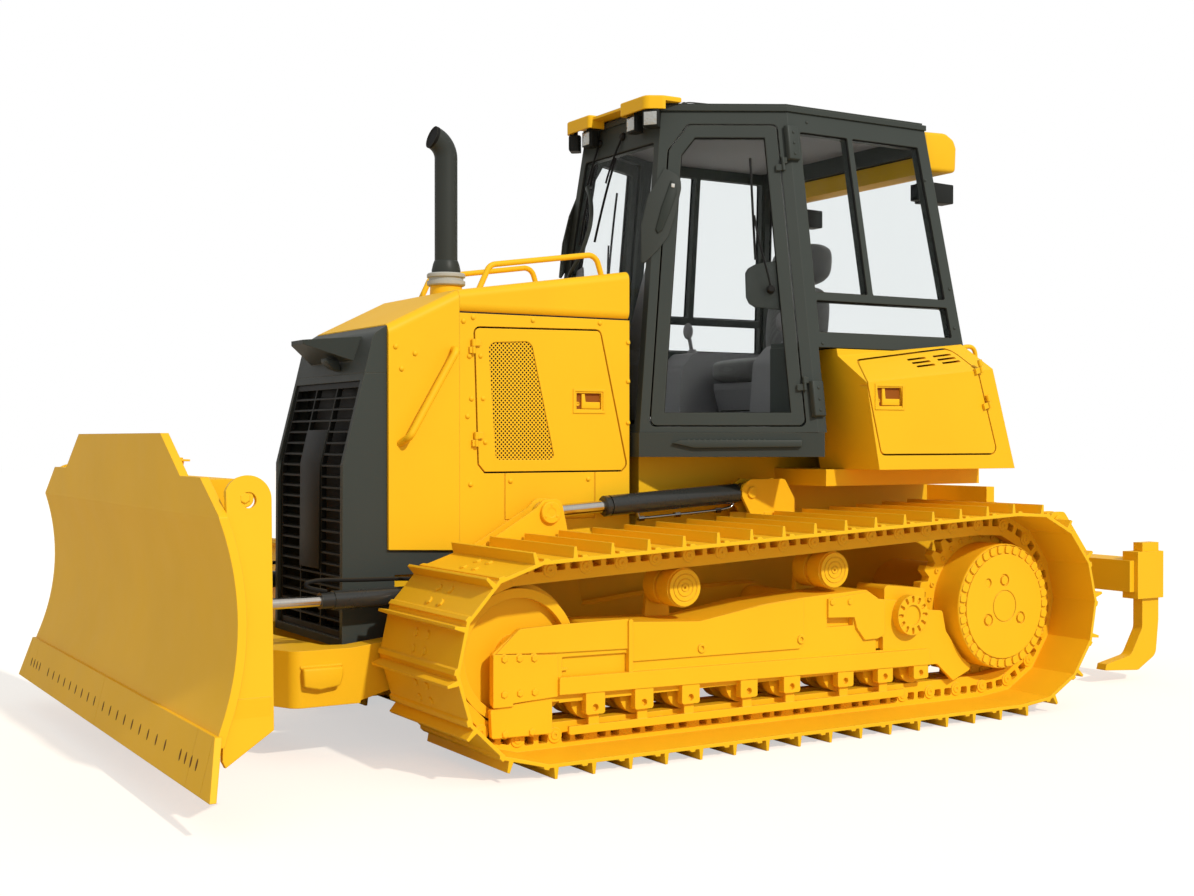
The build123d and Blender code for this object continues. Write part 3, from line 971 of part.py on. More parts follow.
# ---------------------------------------------------------------- cylinders
def cylinder(pivot, eye, pins, barrel, rod, eye_size, travel):
    """Barrel and rod between two pins. barrel is its reach from the pivot and its radius; rod is its radius;
    eye_size is the eyes' radius, half width and the pivot's pin radius; travel is how far the rod moves in."""
    reach, barrel_r = barrel
    eye_r, eye_half, pin_r = eye_size
    pivot, eye, pins = Vector(*pivot), Vector(*eye), Vector(*pins)
    along = (eye - pivot).normalized()

    def point(distance):
        return tuple(pivot + along * distance)

    length = (eye - pivot).length
    neck = min(barrel_r, eye_half) * 0.98
    case = rod_between(point(0), point(eye_r + 30), neck)
    case += rod_between(point(eye_r + 18), point(reach), barrel_r)
    case += Plane(origin=pivot - pins * eye_half, z_dir=pins) * extrude(Circle(eye_r), 2 * eye_half)
    case -= Plane(origin=pivot - pins * (eye_half + 40), z_dir=pins) * extrude(Circle(pin_r + 0.4),
                                                                              2 * eye_half + 80)
    case -= rod_between(point(eye_r + 40), point(reach + 10), rod + 0.5)
    bar = rod_between(point(eye_r + 50 + travel), point(length - eye_r * 0.7), rod)
    bar += Plane(origin=eye - pins * eye_half, z_dir=pins) * extrude(Circle(eye_r), 2 * eye_half)
    return case, bar


lift_barrel, lift_rod = cylinder((LIFT_X, *LIFT_PIVOT), (LIFT_X, *LIFT_LUG), (1, 0, 0),
                                 (815.0, 50.0), 29.0, (48.0, EYE_HALF, 28.0), 175.0)
keep_pair("lift_barrel", lift_barrel)
keep_pair("lift_rod", lift_rod)

angle_from = (*ANGLE_REAR, ANGLE_Z)
angle_to = (*ANGLE_FRONT, ANGLE_Z)
run = Vector(*angle_to) - Vector(*angle_from)
across = Vector(0, 0, 1).cross(run.normalized())
angle_barrel, angle_rod = cylinder(angle_from, angle_to, tuple(across), (540.0, 42.0), 24.0,
                                   (40.0, 20.0, 16.0), 237.0)
angle_run = run.normalized()
gland = rod_between(tuple(Vector(*angle_from) + angle_run * 535), tuple(Vector(*angle_from) + angle_run * 600), 36)
angle_barrel += gland - rod_between(angle_from, angle_to, 24.5)
gimbal = rod_z(rear_x, rear_y_pin, 50, SEAT_TOP + GAP, SEAT_TOP + 18)
for start in (-38, 26):
    cheek = Plane(origin=Vector(*angle_from) + across * start, x_dir=run.normalized(), z_dir=across)
    gimbal += cheek * Pos(0, 14) * extrude(RectangleRounded(62, 92, 20), 12)
gimbal += Plane(origin=Vector(*angle_from) - across * 30, z_dir=across) * extrude(Circle(16), 60)
gimbal -= rod_z(rear_x, rear_y_pin, 25.4, SEAT_TOP - 10, SEAT_TOP + 25)
keep_pair("angle_gimbal", gimbal)
tip = Vector(*angle_to)
angle_rod -= Plane(origin=tip - across * 60, z_dir=across) * extrude(Circle(60), 120)
angle_rod += Pos(*angle_to) * Cylinder(44, 2 * (JAW_GAP - 29))
angle_rod += rod_between(tuple(tip - run.normalized() * 70), tuple(tip), 24)
keep_pair("angle_barrel", angle_barrel)
keep_pair("angle_rod", angle_rod)

tilt_barrel, tilt_rod = cylinder((TILT_BARREL[0], TILT_Y, TILT_BARREL[1]), (TILT_EYE[0], TILT_Y, TILT_EYE[1]),
                                 (0, 1, 0), (440.0, 42.0), 25.0, (40.0, 20.0, 22.0), 75.0)
keep("tilt_barrel", tilt_barrel)
keep("tilt_rod", tilt_rod)

# ---------------------------------------------------------------- ripper
bar_y, bar_z = RIPPER_BAR_PIN
mount_y = bar_y - RIPPER_LINK * cos(radians(RIPPER_REST))
mount_z = bar_z - RIPPER_LINK * sin(radians(RIPPER_REST))
LINK_HALF = 22.0          # half thickness of a ripper link
ripper_frame = block(-600, 600, REAR_WALL_Y + GAP, REAR_WALL_Y + 60, 560, 1120)
for x in (-RIPPER_ARM_X, RIPPER_ARM_X):
    for side in (-1, 1):
        x0 = x + side * (LINK_HALF + 6)
        x0, x1 = sorted((x0, x0 + side * 22))
        ripper_frame += side_plate([
            (REAR_WALL_Y + 40, mount_z - 110, 0), (mount_y + 30, mount_z - 70, 40), (mount_y + 62, mount_z + 30, 20),
            (mount_y + 62, mount_z + RIPPER_PIN_RISE + 40, 40), (REAR_WALL_Y + 40, 1120, 0)], x0, x1)
    for rise in (0, RIPPER_PIN_RISE):
        ripper_frame += rod_x(mount_y, mount_z + rise, 30, x - 58, x + 58)
ram_z = mount_z + RIPPER_PIN_RISE
for side in (-1, 1):
    x0, x1 = sorted((side * 28, side * 50))
    ripper_frame += side_plate([(REAR_WALL_Y + 40, ram_z - 90, 0), (mount_y - 5, ram_z - 50, 0),
                                (mount_y - 5, ram_z + 50, 0), (REAR_WALL_Y + 40, 1120, 0)], x0, x1)
    ripper_frame += rod_x(mount_y, ram_z, 50, x0, x1)
ripper_frame += rod_x(mount_y, ram_z, 26, -58, 58)
keep("ripper_frame", ripper_frame)

lower_arms, upper_links = [], []
for x in (-RIPPER_ARM_X, RIPPER_ARM_X):
    for rise, height, group in ((0, 62, lower_arms), (RIPPER_PIN_RISE, 48, upper_links)):
        link = rod_between((x, mount_y + 20, mount_z + rise - 3.5), (x, bar_y - 20, bar_z + rise + 3.5), 20)
        start, end = Vector(x, mount_y, mount_z + rise), Vector(x, bar_y, bar_z + rise)
        plane = Plane(origin=start - Vector(LINK_HALF, 0, 0), x_dir=(end - start).normalized(), z_dir=(1, 0, 0))
        link = plane * extrude(Pos(RIPPER_LINK / 2, 0) * Rectangle(RIPPER_LINK, height * 1.5), 2 * LINK_HALF)
        for point in (start, end):
            link += rod_x(point.Y, point.Z, height, x - LINK_HALF, x + LINK_HALF)
        for point in (start, end):
            link -= rod_x(point.Y, point.Z, 30.4, x - 40, x + 40)
        group.append(link)
keep("ripper_lower_arms", *lower_arms)
keep("ripper_upper_links", *upper_links)

TOOLBAR = (2590.0, 2830.0, 510.0, 690.0)          # y, y, z, z
y0, y1, z0, z1 = TOOLBAR
toolbar = block(-BAR_HALF, BAR_HALF, y0, y1, z0, z1)
for x in (-RIPPER_ARM_X, RIPPER_ARM_X):
    for side in (-1, 1):
        x0, x1 = sorted((x + side * (LINK_HALF + 6), x + side * (LINK_HALF + 28)))
        toolbar += side_plate([(bar_y - 75, bar_z - 40, 40), (bar_y - 60, bar_z + RIPPER_PIN_RISE + 55, 40),
                               (bar_y + 55, bar_z + RIPPER_PIN_RISE + 55, 40), (y1 - 60, z1, 0), (y1 - 60, z0, 0),
                               (y0, z0, 0), (bar_y - 30, bar_z - 75, 40)], x0, x1)
    for rise in (0, RIPPER_PIN_RISE):
        toolbar += rod_x(bar_y, bar_z + rise, 30, x - 56, x + 56)
for side in (-1, 1):
    x0, x1 = sorted((side * 30, side * 52))
    toolbar += side_plate([(bar_y - 60, bar_z + 40, 30), (bar_y + 60, bar_z + 62, 0), (y0 + 60, z1, 0),
                           (y0 + 60, z0, 0), (y0, z0, 0), (bar_y - 50, bar_z - 62, 30)], x0, x1)
    toolbar += rod_x(bar_y, bar_z, 34, x0 + (15 if side > 0 else -15), x1 + (15 if side > 0 else -15))
SHANK_HALF = 32.0
for x in SHANK_XS:
    toolbar += block(x - SHANK_HALF - 22, x + SHANK_HALF + 22, y0 + 40, y1 + 20, z0 - 40, z1 + 50)
for x in SHANK_XS:
    toolbar -= block(x - SHANK_HALF - GAP, x + SHANK_HALF + GAP, 2695 - GAP, 2835 + GAP, z0 - 60, z1 + 60)
keep("ripper_beam", toolbar)

shanks = []
for x in SHANK_XS:
    shank = side_plate([
        (2695, 790, 0), (2835, 790, 0), (2835, 340, 30), (2812, 140, 60), (2660, 60, 40), (2384, 78, 4),
        (2395, 112, 0), (2600, 150, 60), (2695, 300, 60)], x - SHANK_HALF, x + SHANK_HALF)
    shanks.append(shank)
keep("ripper_shanks", *shanks)

ripper_barrel, ripper_rod = cylinder((0, mount_y, mount_z + RIPPER_PIN_RISE), (0, bar_y, bar_z), (1, 0, 0),
                                     (430.0, 50.0), 24.0, (44.0, 22.0, 26.0), 196.0)
keep("ripper_barrel", ripper_barrel)
keep("ripper_rod", ripper_rod)

# ---------------------------------------------------------------- write the pieces
whole = Compound(children=[solid for piece in PIECES.values() for solid in piece.solids()])
box = whole.bounding_box()
SHIFT_Y = -(box.min.Y + box.max.Y) / 2
os.makedirs("parts", exist_ok=True)
for name, piece in PIECES.items():
    export_step(Pos(0, SHIFT_Y, 0) * piece, "parts/" + name + ".step")
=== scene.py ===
import math

import bmesh
import bpy
from mathutils import Matrix, Vector


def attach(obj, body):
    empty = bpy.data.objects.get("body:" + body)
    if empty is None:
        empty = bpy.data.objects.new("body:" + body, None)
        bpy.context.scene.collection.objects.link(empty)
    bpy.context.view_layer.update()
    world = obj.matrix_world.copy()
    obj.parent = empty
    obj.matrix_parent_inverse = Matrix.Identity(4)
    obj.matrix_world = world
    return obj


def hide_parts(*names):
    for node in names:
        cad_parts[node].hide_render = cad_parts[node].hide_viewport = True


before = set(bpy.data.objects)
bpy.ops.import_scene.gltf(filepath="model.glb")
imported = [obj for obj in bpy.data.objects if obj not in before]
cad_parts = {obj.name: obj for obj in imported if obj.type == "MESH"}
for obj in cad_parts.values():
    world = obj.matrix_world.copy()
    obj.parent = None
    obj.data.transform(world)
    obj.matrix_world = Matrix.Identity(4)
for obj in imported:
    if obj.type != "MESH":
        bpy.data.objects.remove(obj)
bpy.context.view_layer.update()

# ---------------------------------------------------------------- painted steelwork
# Hull, hood, track frames, blade and ripper are welded steel, sprayed with one coat of yellow machine
# enamel. Edges are rounded by the paint and lightened by a painted highlight, and flat panels carry a faint
# orange peel.

YELLOW = (0.93, 0.520, 0.012)
# The first colour is a painted highlight, added to the paint along rounded edges; the second is the colour of
# dust on level faces.
EDGE_HIGHLIGHT, DRY_DUST = (0.10, 0.09, 0.06, 1), (0.46, 0.33, 0.14, 1)


def feed(tree, socket, given):
    """Sets a shader socket to a plain value, or joins it to the socket given."""
    if isinstance(given, bpy.types.NodeSocket):
        tree.links.new(given, socket)
    else:
        socket.default_value = given


def node(tree, kind, **inputs):
    """One shader node, with its inputs fed by name."""
    made = tree.nodes.new(f"ShaderNode{kind}")
    for name, given in inputs.items():
        feed(tree, made.inputs[name.replace("_", " ")], given)
    return made


def value(tree, operation, *given):
    """One sum on values or sockets."""
    made = tree.nodes.new("ShaderNodeMath")
    made.operation = operation
    for socket, part in zip(made.inputs, given):
        feed(tree, socket, part)
    return made.outputs["Value"]


def ramp(tree, source, low, high, least=0.0):
    """Steepens a value into a mask, from its least at low to 1 at high."""
    return node(tree, "MapRange", Value=source, From_Min=low, From_Max=high, To_Min=least).outputs["Result"]


def mixed(tree, factor, first, second, blend="MIX"):
    """Two colours, mixed by a factor."""
    made = tree.nodes.new("ShaderNodeMix")
    made.data_type, made.blend_type = "RGBA", blend
    for name, given in (("Factor", factor), ("A", first), ("B", second)):
        feed(tree, made.inputs[name], given)
    return made.outputs["Result"]


def film_group():
    """Colour and gloss of a paint film: slow mottling, a painted highlight along edges and dust on level
    faces.
    """
    tree = bpy.data.node_groups.new("paint_film", "ShaderNodeTree")
    for name in ("Colour", "Mottle", "Edge Highlight", "Dust", "Gloss"):
        kind = "Color" if name == "Colour" else "Float"
        tree.interface.new_socket(name, in_out="INPUT", socket_type=f"NodeSocket{kind}")
    for name, kind in (("Colour", "Color"), ("Roughness", "Float"), ("Height", "Float"),
                       ("Edge Normal", "Vector")):
        tree.interface.new_socket(name, in_out="OUTPUT", socket_type=f"NodeSocket{kind}")
    given = tree.nodes.new("NodeGroupInput").outputs
    made = tree.nodes.new("NodeGroupOutput").inputs
    place = node(tree, "TexCoord").outputs["Object"]
    slow = node(tree, "TexNoise", Vector=place, Scale=1.7, Detail=3.0).outputs["Fac"]
    peel = node(tree, "TexNoise", Vector=place, Scale=140.0, Detail=2.0).outputs["Fac"]
    grime = node(tree, "TexNoise", Vector=place, Scale=6.0, Detail=5.0, Roughness=0.65).outputs["Fac"]
    soft = node(tree, "Bevel", Radius=0.005)
    soft.samples = 4
    skin = node(tree, "NewGeometry").outputs["True Normal"]
    bend = node(tree, "VectorMath")
    bend.operation = "DOT_PRODUCT"
    feed(tree, bend.inputs[0], soft.outputs["Normal"])
    feed(tree, bend.inputs[1], skin)
    # Painted highlight: the paint is lightened along rounded edges, where the bevel's normal turns away from
    # the face's.
    edge_highlight = value(tree, "MULTIPLY", ramp(tree, bend.outputs["Value"], 0.97, 0.80), given["Edge Highlight"])
    toned = node(tree, "VectorMath")
    toned.operation = "SCALE"
    feed(tree, toned.inputs[0], given["Colour"])
    least = value(tree, "SUBTRACT", 1.0, given["Mottle"])
    feed(tree, toned.inputs["Scale"], ramp(tree, slow, 0.3, 0.7, least))
    lit = mixed(tree, edge_highlight, toned.outputs["Vector"], EDGE_HIGHLIGHT, "ADD")
    level = ramp(tree, node(tree, "SeparateXYZ", Vector=skin).outputs["Z"], 0.6, 1.0)
    dusty = value(tree, "MULTIPLY", value(tree, "MULTIPLY", level, grime), given["Dust"])
    feed(tree, made["Colour"], mixed(tree, dusty, lit, DRY_DUST))
    feed(tree, made["Roughness"], value(tree, "MULTIPLY_ADD", grime, 0.12, given["Gloss"]))
    feed(tree, made["Height"], peel)
    feed(tree, made["Edge Normal"], soft.outputs["Normal"])
    return tree


paint_film = film_group()


def plain(name):
    """A new material, its nodes and the sockets of its shader."""
    material = bpy.data.materials.new(name)
    material.use_nodes = True
    return material, material.node_tree, material.node_tree.nodes["Principled BSDF"].inputs


# Besides mottle, dust, peel and coat, each enamel sets the strength of a painted highlight along its edges.
def enamel(name, colour, gloss=0.42, mottle=0.06, edge_highlight=0.5, dust=0.04, peel=0.02, coat=0.0):
    """Sprayed machine enamel over the paint film's values."""
    material, tree, shader = plain(name)
    film = tree.nodes.new("ShaderNodeGroup")
    film.node_tree = paint_film
    for socket, given in (("Colour", (*colour, 1)), ("Mottle", mottle), ("Edge Highlight", edge_highlight), ("Dust", dust),
                          ("Gloss", gloss)):
        film.inputs[socket].default_value = given
    bump = node(tree, "Bump", Strength=peel, Distance=0.002, Height=film.outputs["Height"],
                Normal=film.outputs["Edge Normal"])
    feed(tree, shader["Base Color"], film.outputs["Colour"])
    feed(tree, shader["Roughness"], film.outputs["Roughness"])
    feed(tree, shader["Normal"], bump.outputs["Normal"])
    shader["Specular IOR Level"].default_value = 0.16
    shader["Coat Weight"].default_value = coat
    shader["Coat Roughness"].default_value = 0.18
    return material


def dress(material, *names):
    """Gives CAD pieces their finish."""
    for name in names:
        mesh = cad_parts[name].data
        mesh.materials.clear()
        mesh.materials.append(material)


machine_yellow = enamel("machine_yellow", YELLOW)
dress(machine_yellow, *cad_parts)

# ---------------------------------------------------------------- undercarriage bolts
# Hexagon bolts of yellow-painted steel, turned in over washers, hold the idler's bracket plates, the
# guards below them and the covers on top of the track frames.


def alone(piece):
    """Leaves one piece selected and active."""
    bpy.ops.object.select_all(action="DESELECT")
    piece.select_set(True)
    bpy.context.view_layer.objects.active = piece


def settle(piece, name, material, body="chassis", angle=35):
    """Names a finished piece, gives it its finish and fixes it to its body."""
    piece.name = piece.data.name = name
    piece.data.materials.clear()
    piece.data.materials.append(material)
    alone(piece)
    bpy.ops.object.transform_apply(location=True, rotation=True, scale=True)
    bpy.ops.object.shade_smooth_by_angle(angle=math.radians(angle))
    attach(piece, body)
    return piece


def pick(test):
    """In edit mode, leaves the faces selected whose middle and normal pass a test."""
    bpy.ops.mesh.select_mode(type="FACE")
    bpy.ops.mesh.select_all(action="DESELECT")
    mesh = bpy.context.object.data
    shape = bmesh.from_edit_mesh(mesh)
    for face in shape.faces:
        if test(face.calc_center_median(), face.normal):
            face.select_set(True)
    bmesh.update_edit_mesh(mesh)


def started(add, **sizes):
    """A new primitive, with nothing else selected."""
    bpy.ops.object.select_all(action="DESELECT")
    add(**sizes)
    return bpy.context.object


def bolt_head():
    """Hexagon head of radius 1 on its washer, with its corners turned off."""
    head = started(bpy.ops.mesh.primitive_cylinder_add, vertices=6, depth=0.9)
    bpy.ops.object.mode_set(mode="EDIT")
    pick(lambda middle, normal: normal.z > 0.9)
    bpy.ops.mesh.bevel(offset=0.16)
    bpy.ops.mesh.primitive_cylinder_add(vertices=12, radius=1.35, depth=0.3, location=(0, 0, -0.4))
    bpy.ops.object.mode_set(mode="OBJECT")
    return head


def aimed(way, point=(0, 0, 0)):
    """Turn and place of a piece modelled up Z, so that it faces a way at a point."""
    return Matrix.Translation(Vector(point)) @ Vector(way).to_track_quat("Z", "Y").to_matrix().to_4x4()


def joined(pieces):
    """Pieces joined in the first of them."""
    alone(pieces[0])
    for piece in pieces:
        piece.select_set(True)
    if len(pieces) > 1:
        bpy.ops.object.join()
    return bpy.context.object


def fixed_at(pattern, size, seats, name, material, body="chassis"):
    """Copies a fixing to each seat, a point and the way it faces, and joins the copies in one piece."""
    copies = []
    for point, facing in seats:
        copy = pattern.copy()
        copy.data = pattern.data.copy()
        bpy.context.collection.objects.link(copy)
        copy.data.transform(aimed(facing, point) @ Matrix.Scale(size, 4))
        copy.matrix_world = Matrix.Identity(4)
        copies.append(copy)
    return settle(joined(copies), name, material, body)


def skin_of(name, point, way):
    """Where a line from a point meets a CAD piece, and the way its skin faces there."""
    found, place, facing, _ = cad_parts[name].ray_cast(Vector(point), Vector(way).normalized())
    if not found:
        raise ValueError(f"{name} isn't met from {point}")
    return place, facing


OUTSIDE = 1.6       # clear of the machine, where lines that look for its skin start
hexagon = bolt_head()
BRACKET_BOLTS = ((-1.512, 0.470), (-1.441, 0.468), (-1.370, 0.464), (-1.513, 0.323), (-1.438, 0.322),
                 (-1.368, 0.321), (-1.504, 0.154), (-1.376, 0.152), (0.250, 0.610), (0.360, 0.606))
seats = []
for side in (-1, 1):
    for y, z in BRACKET_BOLTS:
        seats.append(skin_of("track_frames", (side * OUTSIDE, y, z), (-side, 0, 0)))
fixed_at(hexagon, 0.016, seats, "track_frame_bolts", machine_yellow)

# ---------------------------------------------------------------- shoe bolts and link pins
# Each track shoe is held to its two links by four hexagon bolts. The links turn on hardened pins,
# pressed in flush with their bosses, whose ends carry a small centre drilling.

SIDES = ((1, "left"), (-1, "right"))
PIN_LINE = 0.118                       # height of the lowest pins
FRONT = (-1.4225, 0.470, 0.352)        # idler: y, z and radius of the pin line round it
REAR = (1.3375, 0.535, 0.417)          # sprocket
RUN, RISE, SHOES = 2.76, 0.065, 44     # sprocket behind and above the idler, and shoes on a side
LEAVING = math.atan2(RISE, RUN) + math.acos(-RISE / math.hypot(RUN, RISE))
REAR_ARC, FRONT_ARC = REAR[2] * (LEAVING + math.pi / 2), FRONT[2] * (1.5 * math.pi - LEAVING)
LOOP = 2 * RUN + REAR_ARC + FRONT_ARC
PITCH = LOOP / SHOES


def on_loop(travel, out):
    """A point outside the pin line, at a travel along it from below the idler."""
    travel %= LOOP
    if travel < RUN:
        return Vector((0, FRONT[0] + travel, PIN_LINE - out))
    if travel < RUN + REAR_ARC:
        wheel, turn = REAR, -math.pi / 2 + (travel - RUN) / REAR[2]
    elif travel < 2 * RUN + REAR_ARC:
        way = Vector((0, math.cos(LEAVING), math.sin(LEAVING)))
        start = Vector((0, *REAR[:2])) + way * (REAR[2] + out)
        return start.lerp(Vector((0, *FRONT[:2])) + way * (FRONT[2] + out), (travel - RUN - REAR_ARC) / RUN)
    else:
        wheel, turn = FRONT, LEAVING + (travel - 2 * RUN - REAR_ARC) / FRONT[2]
    reach = wheel[2] + out
    return Vector((0, wheel[0] + reach * math.cos(turn), wheel[1] + reach * math.sin(turn)))


def on_shoe(count, part, out):
    """A point on one shoe's middle plane at a part of its pitch, and the way the shoe faces."""
    start, end = on_loop(count * PITCH, out), on_loop((count + 1) * PITCH, out)
    along = (end - start).normalized()
    return start.lerp(end, part), Vector((0, along.z, -along.y))


def pin_end():
    """Ground end of a track pin, with a chamfer and a centre drilling."""
    end = started(bpy.ops.mesh.primitive_cylinder_add, vertices=16, depth=0.2)
    bpy.ops.object.mode_set(mode="EDIT")
    pick(lambda middle, normal: normal.z > 0.9)
    bpy.ops.mesh.bevel(offset=0.1)
    pick(lambda middle, normal: normal.z > 0.99)
    bpy.ops.mesh.inset(thickness=0.55)
    bpy.ops.mesh.extrude_region_move(TRANSFORM_OT_translate={"value": (0, 0, -0.12)})
    bpy.ops.object.mode_set(mode="OBJECT")
    return end


HEAD_ROWS, HEAD_LINES, HEAD_SEAT = (0.40, 0.72), (0.945, 1.055), 0.070     # parts of the pitch, x, outwards
NUT_ROWS, NUT_LINES, NUT_SEAT = (0.31, 0.69), (0.942, 1.058), 0.032
PIN_FACES = ((1.1065, 1), (0.8935, -1))                                    # x, and the way it faces
pin = pin_end()
for side, hand in SIDES:
    heads, nuts, ends = [], [], []
    for count in range(SHOES):
        for group, rows, lines, out, way in ((heads, HEAD_ROWS, HEAD_LINES, HEAD_SEAT, 1),
                                             (nuts, NUT_ROWS, NUT_LINES, NUT_SEAT, -1)):
            for part in rows:
                point, facing = on_shoe(count, part, out)
                group += [(point + Vector((side * x, 0, 0)), facing * way) for x in lines]
        point, _ = on_shoe(count, 0, 0)
        ends += [(point + Vector((side * x, 0, 0)), (side * way, 0, 0)) for x, way in PIN_FACES]
    fixed_at(hexagon, 0.0185, heads, f"shoe_bolts_{hand}", machine_yellow)
    fixed_at(hexagon, 0.0120, nuts, f"shoe_nuts_{hand}", machine_yellow)
    fixed_at(pin, 0.020, ends, f"track_pin_ends_{hand}", machine_yellow)
bpy.data.objects.remove(pin)

# ---------------------------------------------------------------- sprocket segments
# The toothed rim is cast in segments and bolted on, with a ring of socket bolts round the final drive
# that stand a little proud of its face.


def turned(rows, steps, place=Matrix()):
    """Steel turned about Z to rows of radius and height, and taken to its place."""
    piece = started(bpy.ops.mesh.primitive_circle_add, vertices=len(rows))
    for vertex, (radius, height) in zip(piece.data.vertices, rows):
        vertex.co = (radius, 0, height)
    bpy.ops.object.mode_set(mode="EDIT")
    bpy.ops.mesh.select_all(action="SELECT")
    bpy.ops.mesh.spin(steps=steps, angle=2 * math.pi, axis=(0, 0, 1))
    bpy.ops.mesh.select_all(action="SELECT")
    bpy.ops.mesh.remove_doubles(threshold=0.00002)
    bpy.ops.mesh.normals_make_consistent(inside=False)
    bpy.ops.object.mode_set(mode="OBJECT")
    piece.data.transform(place)
    return piece


socket = turned(((0, -0.2), (1, -0.2), (1, 0.55), (0.85, 0.7), (0.5, 0.7), (0.5, 0.35), (0, 0.35)), 10)
SEGMENT_FACE, BOLT_RING, SEGMENT_BOLTS = 1.026, 0.348, 29
seats = []
for side in (-1, 1):
    for count in range(SEGMENT_BOLTS):
        turn = 2 * math.pi * count / SEGMENT_BOLTS
        y, z = REAR[0] + BOLT_RING * math.cos(turn), REAR[1] + BOLT_RING * math.sin(turn)
        seats.append(((side * SEGMENT_FACE, y, z), (side, 0, 0)))
fixed_at(socket, 0.013, seats, "segment_bolts", machine_yellow)

# ---------------------------------------------------------------- nose
# Pressed charcoal steel round the radiator. A blank plate runs up the middle of the grille, and the work
# lamp's visor stands on a small saddle.


def cut_sheet(corners, along, ease=0.003, steps=2):
    """Sheet steel cut to an outline, given its thickness along a way, with its rims eased."""
    piece = started(bpy.ops.mesh.primitive_circle_add, vertices=len(corners), fill_type="NGON")
    for vertex, corner in zip(piece.data.vertices, corners):
        vertex.co = corner
    bpy.ops.object.mode_set(mode="EDIT")
    bpy.ops.mesh.select_all(action="SELECT")
    bpy.ops.mesh.extrude_region_move(TRANSFORM_OT_translate={"value": Vector(along)})
    bpy.ops.mesh.select_all(action="SELECT")
    bpy.ops.mesh.normals_make_consistent(inside=False)
    bpy.ops.object.mode_set(mode="OBJECT")
    if ease:
        rim = piece.modifiers.new("eased_rim", "BEVEL")
        rim.width, rim.segments, rim.limit_method = ease, steps, "ANGLE"
        bpy.ops.object.modifier_apply(modifier=rim.name)
    return piece


def cut_flat(axis, start, thick, outline, ease=0.003, steps=2):
    """Sheet square to X, Y or Z (0, 1 or 2), from a start along it, cut to an outline in the other two."""
    along = Vector((0, 0, 0))
    along[axis] = thick
    return cut_sheet([(*spot[:axis], start, *spot[axis:]) for spot in outline], along, ease, steps)


def rectangle(first, last):
    """Outline of a rectangle between two corners."""
    return first, (last[0], first[1]), last, (first[0], last[1])


machine_charcoal = enamel("machine_charcoal", (0.046, 0.054, 0.049), gloss=0.38, edge_highlight=0.6, dust=0.05)
dress(machine_charcoal, "nose_shell", "nose_cap", "cab_frame", "cab_base", "cab_roof", "cab_door_left",
      "cab_door_right")
grille_black = enamel("grille_black", (0.012, 0.013, 0.012), gloss=0.45, edge_highlight=0.3, dust=0.05)
dress(grille_black, "nose_grille", "engine_block")

GRILLE_PLATE = ((-1.9365, 0.79), (-1.9315, 1.275), (-1.8950, 1.43), (-1.8870, 1.43), (-1.9240, 1.275),
                (-1.9290, 0.79))
plate = cut_flat(0, -0.128, 0.256, GRILLE_PLATE)
settle(plate, "grille_plate", grille_black)
core = cut_flat(1, -1.790, 0.05, rectangle((-0.398, 0.50), (0.398, 1.72)), 0)
settle(core, "radiator_core", grille_black)
SADDLE = ((-1.842, 1.748), (-1.905, 1.762), (-1.905, 1.742), (-1.872, 1.712), (-1.830, 1.700))
saddle = cut_flat(0, 0.075, 0.07, SADDLE, 0.006, 3)
settle(saddle, "visor_saddle", machine_charcoal)

# ---------------------------------------------------------------- hood
# Yellow sheet over the engine, held by domed buttons. Each engine door has a punched screen for air and
# a paddle latch in a pressed cup.

HOLE_STEP, SUNK_FACE = 0.0205, 0.450       # between holes, and x of the door's skin where they are


def punched_steel(name):
    """The machine's yellow, with staggered round holes painted in as dark shade where the skin lies 5 mm
    below the door's face.
    """
    material = enamel(name, YELLOW)
    tree = material.node_tree
    shader = tree.nodes["Principled BSDF"].inputs
    parts = node(tree, "SeparateXYZ", Vector=node(tree, "TexCoord").outputs["Object"]).outputs
    spots = []
    for shift in (0.0, 0.5):
        off = []
        for part, start in ((parts["Y"], 400 + shift), (parts["Z"], shift)):
            row = value(tree, "FRACT", value(tree, "MULTIPLY_ADD", part, 1 / HOLE_STEP, start))
            off.append(value(tree, "SUBTRACT", row, 0.5))
        square = value(tree, "MULTIPLY_ADD", off[0], off[0], value(tree, "MULTIPLY", off[1], off[1]))
        spots.append(value(tree, "SQRT", square))
    hole_shade = ramp(tree, value(tree, "MINIMUM", *spots), 0.27, 0.21)
    sunk = value(tree, "COMPARE", value(tree, "ABSOLUTE", parts["X"]), SUNK_FACE, 0.0008)
    hole_shade_mask = value(tree, "MULTIPLY", hole_shade, sunk)
    paint, gloss = [shader[part].links[0].from_socket for part in ("Base Color", "Roughness")]
    # Painted shade: the holes are not cut through the skin, but painted dark as the shade seen through them.
    feed(tree, shader["Base Color"], mixed(tree, hole_shade_mask, paint, (0.016, 0.008, 0.003, 1)))
    feed(tree, shader["Roughness"], value(tree, "MULTIPLY_ADD", hole_shade_mask, 0.5, gloss))
    return material


